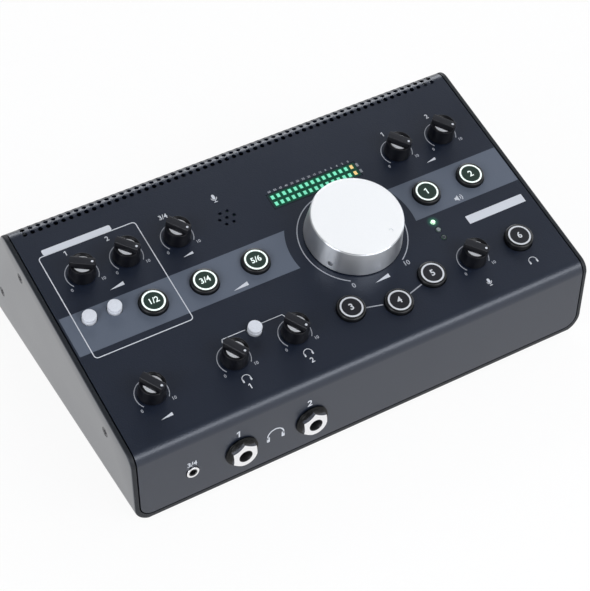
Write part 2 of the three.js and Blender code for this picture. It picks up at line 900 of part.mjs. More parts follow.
// Power switch: a bezel and a body with a well that the rocker tips in
function switchCase() {
  const side = rockerWidth / 2;
  const rise = rockerHeight / 2;
  const bezel = block(
    [-side - rockerBezel, -rise - rockerBezel, seatGap],
    [side + rockerBezel, rise + rockerBezel, seatGap + rockerBezelSheet],
  );
  const body = block([-side, -rise, -rockerBodyLength], [side, rise, seatGap + rockerBezelSheet]);
  const well = block(
    [rockerBezel - side, rockerBezel - rise, rockerBezel - rockerBodyLength],
    [side - rockerBezel, rise - rockerBezel, overrun],
  );
  return cut(joined(bezel, body), well);
}

// The rocker, its pivot along x at the origin: a shallow V on a round root
function rocker() {
  const side = rockerWidth / 2 - rockerBezel - runGap;
  const rise = rockerHeight / 2 - rockerBezel - 2 * runGap;
  const outline = [
    ...arc(0, 0, rise, -Math.PI, 0),
    [rise, rockerProud],
    [0, rockerProud - rise * Math.tan(rockerTilt)],
    [-rise, rockerProud],
  ];
  return alongX(outline, -side, side).transform(turnX(rockerTilt).toArray());
}

// Assembly
piece("chassis", chassis(), "chassis");
piece("top_cover", cover(), "sheet");
for (const [end, y] of [
  ["front", footInset],
  ["back", housingDepth - footInset],
]) {
  for (const [side, x] of [
    ["left", footInset - half],
    ["right", half - footInset],
  ]) {
    piece(`foot_${end}_${side}`, foot(), "rubber").position.set(x, y, -footHeight);
  }
}
piece("control_board", controlBoard(), "board", panel);
piece("main_board", mainBoard(), "board");

for (const [name, x, y, pointer] of knobShares) {
  const place = station([x, y]);
  piece(`${name}_knob`, knob(pointer), "knob", place);
  const low = boardFace + potWellFloor + seatGap;
  const shaft = rod(shaftRadius, low, knobBoreTop - seatGap, smallSides);
  piece(`${name}_shaft`, shaft, "steel", place);
}

const volume = station(volumeShares);
piece("volume_knob", volumeKnob(), "aluminium", volume);
piece("volume_pot", volumePot(), "steel", volume);
piece(
  "volume_shaft",
  rod(shaftRadius, boardFace + potWellFloor + 2 * seatGap, volumeBoreTop - seatGap, smallSides),
  "steel",
  volume,
);

for (const [name, ...at] of litShares) {
  const top = name === "cue" ? cueTop : litTop;
  const body = button(litRadius, top, litShoulder, litSkirt, litTravel, buttonSides);
  piece(`${name}_button`, body, "cap", station(at));
}
for (const [name, ...at] of whiteShares) {
  const body = button(whiteRadius, whiteTop, whiteShoulder, whiteSkirt, whiteTravel, knobSides);
  piece(`${name}_button`, body, "white", station(at));
}

const meter = station(meterShares);
const pane = block(
  [-meterWidth / 2, -meterHeight / 2, -meterSheet],
  [meterWidth / 2, meterHeight / 2, 0],
);
piece("meter_window", pane, "glass", meter);
piece("meter_lights", meterLights(), "plastic", meter);
const mic = rod(micRadius, -skin - micHeight, -skin, knobSides);
piece("talkback_microphone", mic, "steel", station(micShares));

// Turns a piece made with its mouth up so that the mouth faces the front or the back
function atFront(mesh, share) {
  mesh.position.set(share * housingWidth, 0, frontJackHeight);
  mesh.rotation.x = Math.PI / 2;
}
function atBack(mesh, share) {
  mesh.position.set(-share * housingWidth, rearJackHeight, 0);
}

phonesShares.forEach((share, i) => {
  const jack = phoneJack(jackNutProud, jackWasher, frontDrop);
  atFront(piece(`phones_jack_${i + 1}`, jack, "plastic"), share);
});
atFront(piece("mini_jack", miniJack(), "plastic"), miniShare);

piece("rear_board", rearBoard(), "board", back);
comboShares.forEach((share, i) => {
  atBack(piece(`combo_jack_${i + 1}`, comboJack(), "plastic", back), share);
});
for (const [name, share] of rearJackShares) {
  const jack = phoneJack(rearNutProud, rearWasher, jackBodyWidth / 2);
  atBack(piece(name, jack, "plastic", back), share);
}
atBack(piece("usb_socket", usbSocket(), "steel", back), usbShare);
atBack(piece("dc_inlet", dcInlet(), "plastic", back), dcShare);
atBack(piece("power_switch_case", switchCase(), "plastic", back), rockerShare);
atBack(piece("power_rocker", rocker(), "plastic", back), rockerShare);

export default part;
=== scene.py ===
"""Studio monitor controller: the looks of its pieces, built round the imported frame."""

import math

import bmesh
import bpy
from bpy.props import FloatProperty, FloatVectorProperty, IntProperty, PointerProperty
from mathutils import Matrix, Vector


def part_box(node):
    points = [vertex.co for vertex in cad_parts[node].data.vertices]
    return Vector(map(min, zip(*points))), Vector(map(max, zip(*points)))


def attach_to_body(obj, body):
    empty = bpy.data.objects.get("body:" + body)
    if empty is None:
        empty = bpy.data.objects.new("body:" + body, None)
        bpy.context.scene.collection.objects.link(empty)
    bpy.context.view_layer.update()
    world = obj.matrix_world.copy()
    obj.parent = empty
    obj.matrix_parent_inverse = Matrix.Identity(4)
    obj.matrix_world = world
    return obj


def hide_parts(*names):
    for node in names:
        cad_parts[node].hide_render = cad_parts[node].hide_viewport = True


bl_info = {
    "name": "Studio Monitor Controller",
    "version": (1, 0, 0),
    "blender": (4, 5, 0),
    "location": "View3D > Sidebar > Controller",
    "description": "Builds the controller's pieces, finishes, stage and camera",
    "category": "Object",
}

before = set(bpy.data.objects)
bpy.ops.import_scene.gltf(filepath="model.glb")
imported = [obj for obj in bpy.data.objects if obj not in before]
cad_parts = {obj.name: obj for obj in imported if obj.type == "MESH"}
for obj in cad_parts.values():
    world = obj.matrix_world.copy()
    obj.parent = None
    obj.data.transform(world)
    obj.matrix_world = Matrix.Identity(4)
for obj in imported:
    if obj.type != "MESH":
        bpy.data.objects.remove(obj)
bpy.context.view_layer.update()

# Sizes in millimetres. The housing's own zero is at the front corner of its underside
MM = 0.001
HOUSING_WIDTH = 290
HOUSING_DEPTH = 190
FRONT_HEIGHT = 50.8
SLOPE = math.radians(13)
BACK_LEAN = math.radians(22)
FOOT_HEIGHT = 3
MIDDLE = 92.0175  # from the front to the frame's zero
CHASSIS_WALL = 2.6
COVER_GAP = 0.8
COVER_SHEET = 1.5
COVER_HALF = HOUSING_WIDTH / 2 - CHASSIS_WALL - COVER_GAP
COVER_FOOT = 4.4
FLOOR = 2
LIP_HEIGHT = 3.6
LIP_DEPTH = 6
LOWER_BEND = 11
CORNER = 7.4
SILL_BEND = 2
FRONT_BEND = 8
BACK_BEND = 8.5
CHASSIS_EDGE = 1.1  # its soft visible rim
FLANGE = 11
FLANGE_SPAN = (0.07, 0.955)  # shares of the slope's length
FLANGE_RUN = 0.88  # share of the straight part of the front and back
NOTCH = 1

HOUSING = Matrix.Scale(MM, 4) @ Matrix.Translation((0, -MIDDLE, FOOT_HEIGHT))
PANEL = HOUSING @ Matrix.Translation((0, 0, FRONT_HEIGHT)) @ Matrix.Rotation(SLOPE, 4, "X")
BACK = (
    HOUSING
    @ Matrix.Translation((0, HOUSING_DEPTH, 0))
    @ Matrix.Rotation(BACK_LEAN - math.pi / 2, 4, "X")
    @ Matrix.Rotation(math.pi, 4, "Z")
)
FRONT = HOUSING @ Matrix.Rotation(math.pi / 2, 4, "X")

# Places on the slope: across from the middle, and up the slope from the front corner
BACK_ROW = 115.2
BUTTON_ROW = 81.8
FRONT_ROW = 32.1
SMALL_KNOBS = [
    ("gain_1", -116.5, BACK_ROW, -31),
    ("gain_2", -89.5, BACK_ROW, -48),
    ("line_trim", -58.2, BACK_ROW, -53),
    ("monitor_a_trim", 86.2, BACK_ROW, -51),
    ("monitor_b_trim", 116.7, BACK_ROW, -52),
    ("talkback", 86.4, FRONT_ROW, -48),
    ("phones_1", -67.3, FRONT_ROW, -58),
    ("phones_2", -29.8, FRONT_ROW, -58),
    ("direct_monitor", -116.5, FRONT_ROW, -58),
]
VOLUME = (32.25, 75)
VOLUME_POINTER = -53
LIT_BUTTONS = [
    ("input_12", -90.1, BUTTON_ROW, "1/2", "lit"),
    ("input_34", -58.6, BUTTON_ROW, "3/4", "lit"),
    ("input_usb", -26.7, BUTTON_ROW, "5/6", "lit"),
    ("monitor_a", 86, BUTTON_ROW, "1", "lit"),
    ("monitor_b", 116.2, BUTTON_ROW, "2", "lit"),
    ("mono", 5.75, FRONT_ROW, "3", "unlit"),
    ("mute", 32.25, 24.5, "4", "unlit"),
    ("dim", 58.75, FRONT_ROW, "5", "unlit"),
    ("cue", 117.5, FRONT_ROW, "6", "unlit"),
]
WHITE_BUTTONS = [
    ("phantom", -125.7, 87.5),
    ("stereo_pan", -110.6, 87.5),
    ("phones_source", -48.6, 43.3),
]
METER = (30, 114.3)
METER_ROWS = (116.7, 112.0)
METER_START = 3.7
METER_SCALE = ("60", "50", "45", "40", "35", "30", "25", "20", "15", "12", "9", "6", "4", "2", "0")
MICROPHONE = (-26.6, 115.4)
STATUS = [("lit", 79, 63.2), ("dim", 79, 57.3), ("unlit", 79, 51.4)]
PHONES_JACKS = [("phones_jack_1", -80.9), ("phones_jack_2", -37.5)]
MINI_JACK = -110.4
FRONT_JACK_HEIGHT = 22.8
REAR_JACK_HEIGHT = 30
REAR_JACKS = [
    ("line_jack_3", -50),
    ("line_jack_4", -29),
    ("monitor_a_left_jack", -4),
    ("monitor_a_right_jack", 17),
    ("monitor_b_left_jack", 40),
    ("monitor_b_right_jack", 61),
]
COMBO_JACKS = [("combo_jack_1", -112), ("combo_jack_2", -78)]
WALL = HOUSING_WIDTH / 2
SIDE_SCREWS = [(132.1, 70.4), (30.8, 44.2), (167, 30)]
SCREWS = [
    ("left_screws", (-1.0, 0.0, 0.0), [(0.1 - WALL, y, z) for y, z in SIDE_SCREWS]),
    ("right_screws", (1.0, 0.0, 0.0), [(WALL - 0.1, y, z) for y, z in SIDE_SCREWS]),
]
KNOB_BORE = 4.8
LIT_BORE = 8.5
WHITE_BORE = 4.45
VOLUME_BORE = 5.4
STATUS_BORE = 1.75
VOICE_BORE = 1
VOICE_RING = 4.6
PHONE_BORE = 4.3
MINI_BORE = 4
COMBO_BORE = 12.3
METER_LIGHTS = 15
METER_PITCH = 3.743
METER_WINDOW = (29.3, 5.5)  # half its width and height
METER_PANE = (29, 5.2)
DATA_SOCKET = 83
POWER_INLET = 101
POWER_SWITCH = 123
REAR_BORES = [(x, COMBO_BORE) for _, x in COMBO_JACKS]
REAR_BORES += [(x, PHONE_BORE) for _, x in REAR_JACKS]
REAR_SLOTS = [(DATA_SOCKET, 12, 11), (POWER_INLET, 9, 11), (POWER_SWITCH, 19, 13)]
NUT_FLATS = 14
BEYOND = 5  # how far a cutting tool reaches past the sheet
ABOVE = 250  # well over the housing
# They turn a flat outline into the side view and into the front view
ACROSS = Matrix(((0, 0, 1, 0), (1, 0, 0, 0), (0, 1, 0, 0), (0, 0, 0, 1)))
LENGTHWISE = Matrix(((1, 0, 0, 0), (0, 0, 1, 0), (0, 1, 0, 0), (0, 0, 0, 1)))


def on_panel(u, v, turn=0.0):
    """A place on the slope, turned about its normal by degrees."""
    return PANEL @ Matrix.Translation((u, v, 0)) @ Matrix.Rotation(math.radians(turn), 4, "Z")


def on_front(x, height=FRONT_JACK_HEIGHT):
    """A place on the front face."""
    return FRONT @ Matrix.Translation((x, height, 0))


def on_back(x):
    """A place in the back face's row of sockets."""
    return BACK @ Matrix.Translation((-x, REAR_JACK_HEIGHT, 0))


# Points and faces ---------------------------------------------------------------------


def arc(y, z, radius, start, end, steps=16):
    """Points of a round corner about a centre."""
    turns = [start + (end - start) * i / steps for i in range(steps + 1)]
    return [(y + radius * math.cos(a), z + radius * math.sin(a)) for a in turns]


def rounded(corners, closed=True, steps=5):
    """A path whose corners are rounded to the radius in a corner's third value."""
    path = []
    count = len(corners)
    for i, corner in enumerate(corners):
        here = Vector(corner[:2])
        radius = corner[2] if len(corner) > 2 else 0
        if radius <= 0 or (not closed and i in (0, count - 1)):
            path.append(tuple(here))
            continue
        back = (Vector(corners[i - 1][:2]) - here).normalized()
        on = (Vector(corners[(i + 1) % count][:2]) - here).normalized()
        half = back.angle(on) / 2
        centre = here + (back + on).normalized() * radius / math.sin(half)
        first = here + back * radius / math.tan(half) - centre
        last = here + on * radius / math.tan(half) - centre
        sweep = first.angle_signed(last)
        for k in range(steps + 1):
            turn = -sweep * k / steps
            c, s = math.cos(turn), math.sin(turn)
            across = first.x * c - first.y * s
            path.append((centre.x + across, centre.y + first.x * s + first.y * c))
    return path


def skin(rings, closed=False):
    """A body through rings of points, whose ends are joined or else capped."""
    points = [point for ring in rings for point in ring]
    spans, start, faces = [], 0, []
    for ring in rings:
        spans.append(range(start, start + len(ring)))
        start += len(ring)
    count = max(len(ring) for ring in rings)
    for low, high in list(zip(spans, spans[1:])) + [(spans[-1], spans[0])] * closed:
        for i in range(count):
            j = (i + 1) % count
            ring = [low[i % len(low)], low[j % len(low)], high[j % len(high)], high[i % len(high)]]
            faces.append(list(dict.fromkeys(ring)))
    if not closed:
        faces += [list(spans[0])[::-1], list(spans[-1])]
    return points, [face for face in faces if len(face) > 2]


def lathe(profile, steps, closed=False):
    """A turned body: radius and height pairs swept round the upright axis."""
    turns = [math.tau * i / steps for i in range(steps)]
    rings = []
    for radius, height in profile:
        ring = [(radius * math.cos(a), radius * math.sin(a), height) for a in turns]
        rings.append(ring if radius > 1e-6 else ring[:1])
    return skin(rings, closed)


def turned(profile, steps, closed=False, bend_steps=5):
    """A turned body whose profile has rounded corners."""
    return lathe(rounded(profile, closed, bend_steps), steps, closed)


def rod(radius, low, high, steps):
    """A turned rod."""
    return lathe([(0, low), (radius, low), (radius, high), (0, high)], steps)


def oblong(left, low, right, high, radius=0):
    """The outline of a box with rounded corners."""
    corners = [(left, low), (right, low), (right, high), (left, high)]
    return rounded([(*corner, radius) for corner in corners])


def inset(outline, amount):
    """The outline moved inwards, for a path that turns anticlockwise."""
    moved = []
    count = len(outline)
    for i in range(count):
        before, here, after = (Vector(outline[k % count]) for k in (i - 1, i, i + 1))
        left = (here - before).normalized()
        right = (after - here).normalized()
        mitre = Vector((-left.y - right.y, left.x + right.x))
        mitre = mitre.normalized() / max(0.2, math.cos(left.angle(right, 0) / 2))
        moved.append(tuple(here + mitre * amount))
    return moved


def prism(outline, low, high, edge=0.0):
    """An outline raised to a solid, with its two rims rounded by the size given."""
    area = sum(a[0] * b[1] - b[0] * a[1] for a, b in zip(outline, outline[1:] + outline[:1]))
    if area < 0:
        outline = outline[::-1]
    levels = [(0, low), (0, high)]
    if edge:
        turns = [math.pi / 8 * k for k in range(5)]
        levels = [(edge * (1 - math.sin(a)), low + edge * (1 - math.cos(a))) for a in turns]
        levels += [(edge * (1 - math.cos(a)), high - edge * (1 - math.sin(a))) for a in turns]
    rings = []
    for amount, height in levels:
        ring = inset(outline, amount) if amount else outline
        rings.append([(x, y, height) for x, y in ring])
    return skin(rings)


def block(low, high, edge=0.0):
    """A box between two corners, with its upper and lower rims rounded."""
    return prism(oblong(*low[:2], *high[:2]), low[2], high[2], edge)


def stroke(path, width, low, high, closed=False):
    """A printed or engraved line of even width along a path."""
    count = len(path)
    spans = zip(path, path[1:] + path[:1])
    ways = [(Vector(end) - Vector(start)).normalized() for start, end in spans]
    rings = []
    for i, here in enumerate(path):
        a = ways[i - 1] if i or closed else ways[0]
        b = ways[i] if i < count - 1 or closed else a
        mitre = Vector((-a.y - b.y, a.x + b.x)).normalized()
        mitre = mitre * (width / 2 / max(0.3, math.cos(a.angle(b, 0) / 2)))
        left, right = Vector(here) + mitre, Vector(here) - mitre
        rings.append([(*left, low), (*left, high), (*right, high), (*right, low)])
    return skin(rings, closed)


def numeral(text, size, low, high):
    """A plain printed number, centred, as a flat raised plate."""
    curve = bpy.data.curves.new("numeral", "FONT")
    curve.body = text
    curve.size = size
    curve.align_x = "CENTER"
    curve.align_y = "CENTER"
    curve.resolution_u = 3
    curve.extrude = (high - low) / 2
    curve.offset = size * 0.02
    lettering = bpy.data.objects.new("numeral", curve)
    mesh = bpy.data.meshes.new_from_object(lettering)
    middle = (high + low) / 2
    points = [(v.co.x, v.co.y, v.co.z + middle) for v in mesh.vertices]
    faces = [list(p.vertices) for p in mesh.polygons]
    if text == "1":
        edge, top = min(x for x, _, _ in points), max(y for _, y, _ in points)
        flag = [(0.02, 0), (0.02, -0.13), (-0.17, -0.24), (-0.17, -0.12)]
        flag = prism([(edge + x * size, top + y * size) for x, y in flag][::-1], low, high)
        faces += [[len(points) + corner for corner in face] for face in flag[1]]
        points += flag[0]
    bpy.data.objects.remove(lettering)
    bpy.data.curves.remove(curve)
    bpy.data.meshes.remove(mesh)
    return points, faces


# Pieces -------------------------------------------------------------------------------


class Shape:
    """Solids gathered for one piece, each with a place and one of the piece's finishes."""

    def __init__(self):
        self.points, self.faces, self.marks = [], [], []

    def add(self, solid, place=None, mark=0):
        points, faces = solid
        place = place or Matrix.Identity(4)
        start = len(self.points)
        self.points += [place @ Vector(p) for p in points]
        self.faces += [[start + i for i in face] for face in faces]
        self.marks += [mark] * len(faces)
        return self


def loose(form, place=None):
    """An object holding a shape or one solid, welded, with its faces turned outwards."""
    shape = form if isinstance(form, Shape) else Shape().add(form)
    place = place or Matrix.Identity(4)
    mesh = bpy.data.meshes.new("shape")
    mesh.from_pydata([place @ p for p in shape.points], [], shape.faces)
    for face, mark in zip(mesh.polygons, shape.marks):
        face.material_index = mark
    work = bmesh.new()
    work.from_mesh(mesh)
    bmesh.ops.remove_doubles(work, verts=work.verts, dist=1e-8)
    bmesh.ops.recalc_face_normals(work, faces=work.faces)
    work.to_mesh(mesh)
    work.free()
    made = bpy.data.objects.new("shape", mesh)
    bpy.context.scene.collection.objects.link(made)
    return made


def combine(operation, target, form, place):
    """Changes the target's mesh by a form, or by a loose object, which is used up."""
    tool = form if isinstance(form, bpy.types.Object) else loose(form, place)
    change = target.modifiers.new("cut", "BOOLEAN")
    change.object = tool
    change.operation = operation
    change.solver = "EXACT"
    settle(target)
    spent = tool.data
    bpy.data.objects.remove(tool)
    bpy.data.meshes.remove(spent)
    return target


def unite(target, form, place=None):
    """Joins a form to the target."""
    return combine("UNION", target, form, place)


def cut(target, form, place=None):
    """Cuts a form out of the target."""
    return combine("DIFFERENCE", target, form, place)


def cross(target, form, place=None):
    """Keeps what the target and a form share."""
    return combine("INTERSECT", target, form, place)


def settle(target):
    """Turns an object's modifiers into plain mesh and takes them off."""
    bpy.context.view_layer.update()
    evaluated = target.evaluated_get(bpy.context.evaluated_depsgraph_get())
    mesh = bpy.data.meshes.new_from_object(evaluated)
    before = target.data
    target.modifiers.clear()
    target.data = mesh
    bpy.data.meshes.remove(before)
    return target


def mark_faces(made, finish, test):
    """Gives a finish's number to the faces of a mesh whose centre and direction pass a test."""
    for face in made.data.polygons:
        if test(face.center, face.normal):
            face.material_index = finish


def dress(made, name, finishes, place=None, solid="", slot="", body="housing", crease=32):
    """Names and places a piece, and gives it its finishes, shading and body; the slot it takes is
    not used.
    """
    if place:
        made.data.transform(place)
    made.name = name
    made.data.name = name
    if made.data.materials and finishes:
        made.data.materials.clear()
    for finish in finishes.split():
        made.data.materials.append(FINISH[finish])
    if crease:
        made.data.shade_smooth()
        made.data.set_sharp_from_angle(angle=math.radians(crease))
    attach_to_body(made, body)
    if solid:
        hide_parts(solid)


def build(name, form, finishes, place=None, *fixings, **more):
    """Makes a finished piece from a shape or one solid."""
    dress(loose(form, place), name, finishes, None, *fixings, **more)


# Finishes -----------------------------------------------------------------------------


def colour(code):
    """An sRGB hex colour as linear light."""
    parts = [int(code[i : i + 2], 16) / 255 for i in (1, 3, 5)]
    light = [p / 12.92 if p <= 0.04045 else ((p + 0.055) / 1.055) ** 2.4 for p in parts]
    return (*light, 1.0)


def rgba(tone):
    """Linear light with its fourth value, for a colour socket."""
    return (*tuple(tone)[:3], 1.0)


def node(tree, kind, links=None, **settings):
    """Adds a node with its settings, and sets or links its inputs."""
    made = tree.nodes.new(kind)
    for key, value in settings.items():
        setattr(made, key, value)
    for key, source in (links or {}).items():
        socket = made.inputs[key]
        if isinstance(source, bpy.types.NodeSocket):
            tree.links.new(source, socket)
        else:
            socket.default_value = source
    return made


def feed(tree, kind, links=None, **settings):
    """The first output of a new node."""
    return node(tree, kind, links, **settings).outputs[0]


def calc(tree, operation, *values):
    """The result of a sum on numbers or outputs."""
    return feed(tree, "ShaderNodeMath", dict(enumerate(values)), operation=operation)


def vector(tree, operation, *values):
    """The result of a sum on vectors: a number for the measures, else a vector."""
    made = node(tree, "ShaderNodeVectorMath", dict(enumerate(values)), operation=operation)
    measures = ("DISTANCE", "DOT_PRODUCT", "LENGTH")
    return made.outputs["Value" if operation in measures else "Vector"]


def scaled(tree, value, factor):
    """A colour or vector times a factor."""
    return feed(tree, "ShaderNodeVectorMath", {0: value, "Scale": factor}, operation="SCALE")


def xyz(tree, **axes):
    """A vector from its axes."""
    return feed(tree, "ShaderNodeCombineXYZ", axes)


def mapped(tree, value, span, first, last, way="LINEAR"):
    """A value that runs from the first to the last number over a span."""
    links = {"Value": value, "From Min": span[0], "From Max": span[1]}
    links.update({"To Min": first, "To Max": last})
    return feed(tree, "ShaderNodeMapRange", links, interpolation_type=way)


def noise(tree, place, scale, detail):
    """Noise over a place."""
    links = {"Vector": place, "Scale": scale, "Detail": detail}
    return feed(tree, "ShaderNodeTexNoise", links)


def bump(tree, height, strength, distance):
    """A normal raised by a height."""
    links = {"Height": height, "Strength": strength, "Distance": distance}
    return feed(tree, "ShaderNodeBump", links)


def object_place(tree):
    """The object coordinates."""
    return node(tree, "ShaderNodeTexCoord").outputs["Object"]


def panel_axis(*axis):
    """A direction of the slope in the frame."""
    return tuple((PANEL.to_3x3() @ Vector(axis)).normalized())


def shader(name, **values):
    """A new material, its tree and coordinates, with the surface shader's own values set."""
    made = bpy.data.materials.new(name)
    made.use_nodes = True
    tree = made.node_tree
    for key, value in values.items():
        tree.nodes["Principled BSDF"].inputs[key.replace("_", " ")].default_value = value
    return made, tree, object_place(tree)


def attach(tree, sources):
    """Links outputs to the surface shader's inputs."""
    for key, source in sources.items():
        tree.links.new(source, tree.nodes["Principled BSDF"].inputs[key])


def grained(name, tone, rough, grain, depth, swing=0.05, shade=0.08, **values):
    """A finish with a fine grain: bump of a real size, and slight drifts of gloss and tone."""
    made, tree, place = shader(name, **values)
    fine = noise(tree, place, 1 / (grain * MM), 2.0)
    broad = noise(tree, place, 1 / (grain * MM * 60), 3.0)
    raised = bump(tree, fine, 0.5, depth * MM)
    light = mapped(tree, fine, (0, 1), 1 - shade, 1 + shade)
    gloss = mapped(tree, broad, (0, 1), rough - swing, rough + swing)
    tinted = scaled(tree, tuple(tone)[:3], light)
    attach(tree, {"Base Color": tinted, "Roughness": gloss})
    attach(tree, {"Normal": raised, "Coat Normal": raised})
    return made


def painted_glow(material, centre, reach, strength):
    """Painted glow: light of a lamp spilt over a finish, drawn as the finish's own emission fading
    out over a reach from its centre.
    """
    tree = material.node_tree
    away = vector(tree, "DISTANCE", object_place(tree), tuple(centre))
    level = mapped(tree, away, (0, reach * MM), strength, 0.0, "SMOOTHERSTEP")
    attach(tree, {"Emission Strength": level})


def painted_row_glow(material, strength):
    """Painted glow of the meter's rows spilt round them on the pane: emission over the pane's own
    tone, which is darkened under it.
    """
    tree = material.node_tree
    away = vector(tree, "SUBTRACT", object_place(tree), tuple(PANEL.translation))
    across = vector(tree, "DOT_PRODUCT", away, panel_axis(1, 0, 0))
    up = vector(tree, "DOT_PRODUCT", away, panel_axis(0, 1, 0))
    rows = []
    for row in METER_ROWS:
        gap = calc(tree, "ABSOLUTE", calc(tree, "SUBTRACT", up, row * MM))
        rows.append(mapped(tree, gap, (0.0014, 0.003), 1.0, 0.0, "SMOOTHSTEP"))
    left = mapped(tree, across, (0.0012, 0.003), 0.0, 1.0)
    right = mapped(tree, across, (0.0573, 0.0592), 1.0, 0.0)
    ends = calc(tree, "MULTIPLY", left, right)
    level = calc(tree, "MULTIPLY", calc(tree, "MAXIMUM", *rows), ends)
    plain = tree.nodes["Principled BSDF"].inputs["Base Color"].links[0].from_socket
    dimmed = scaled(tree, plain, calc(tree, "SUBTRACT", 1.0, level))
    glow = calc(tree, "MULTIPLY", level, strength)
    attach(tree, {"Base Color": dimmed, "Emission Strength": glow})


def glowing(name, tone, strength, base):
    """A lit lens: its own light, a little uneven as from a lamp behind it."""
    tones = {"Base_Color": rgba(base), "Emission_Color": rgba(tone)}
    made, tree, place = shader(name, Roughness=0.3, **tones)
    level = mapped(tree, noise(tree, place, 900.0, 1.0), (0, 1), strength * 0.9, strength * 1.1)
    attach(tree, {"Emission Strength": level})
    return made


def turned_metal(name, tone, centre, rough):
    """Metal turned on a lathe: fine rings about an axis spread the light across themselves."""
    made, tree, place = shader(name, Metallic=1.0, Anisotropic=0.95, Base_Color=rgba(tone))
    axis = panel_axis(0, 0, 1)
    away = vector(tree, "SUBTRACT", place, tuple(centre))
    reach = vector(tree, "LENGTH", vector(tree, "CROSS_PRODUCT", away, axis))
    rings = xyz(tree, X=reach, Y=vector(tree, "DOT_PRODUCT", away, axis))
    lines = noise(tree, rings, 4000.0, 2.0)
    gloss = mapped(tree, lines, (0, 1), rough - 0.04, rough + 0.04)
    across = xyz(tree, X=axis[0], Y=axis[1], Z=axis[2])
    attach(tree, {"Tangent": across, "Roughness": gloss, "Normal": bump(tree, lines, 0.2, 3e-5)})
    return made


FINISH = {}


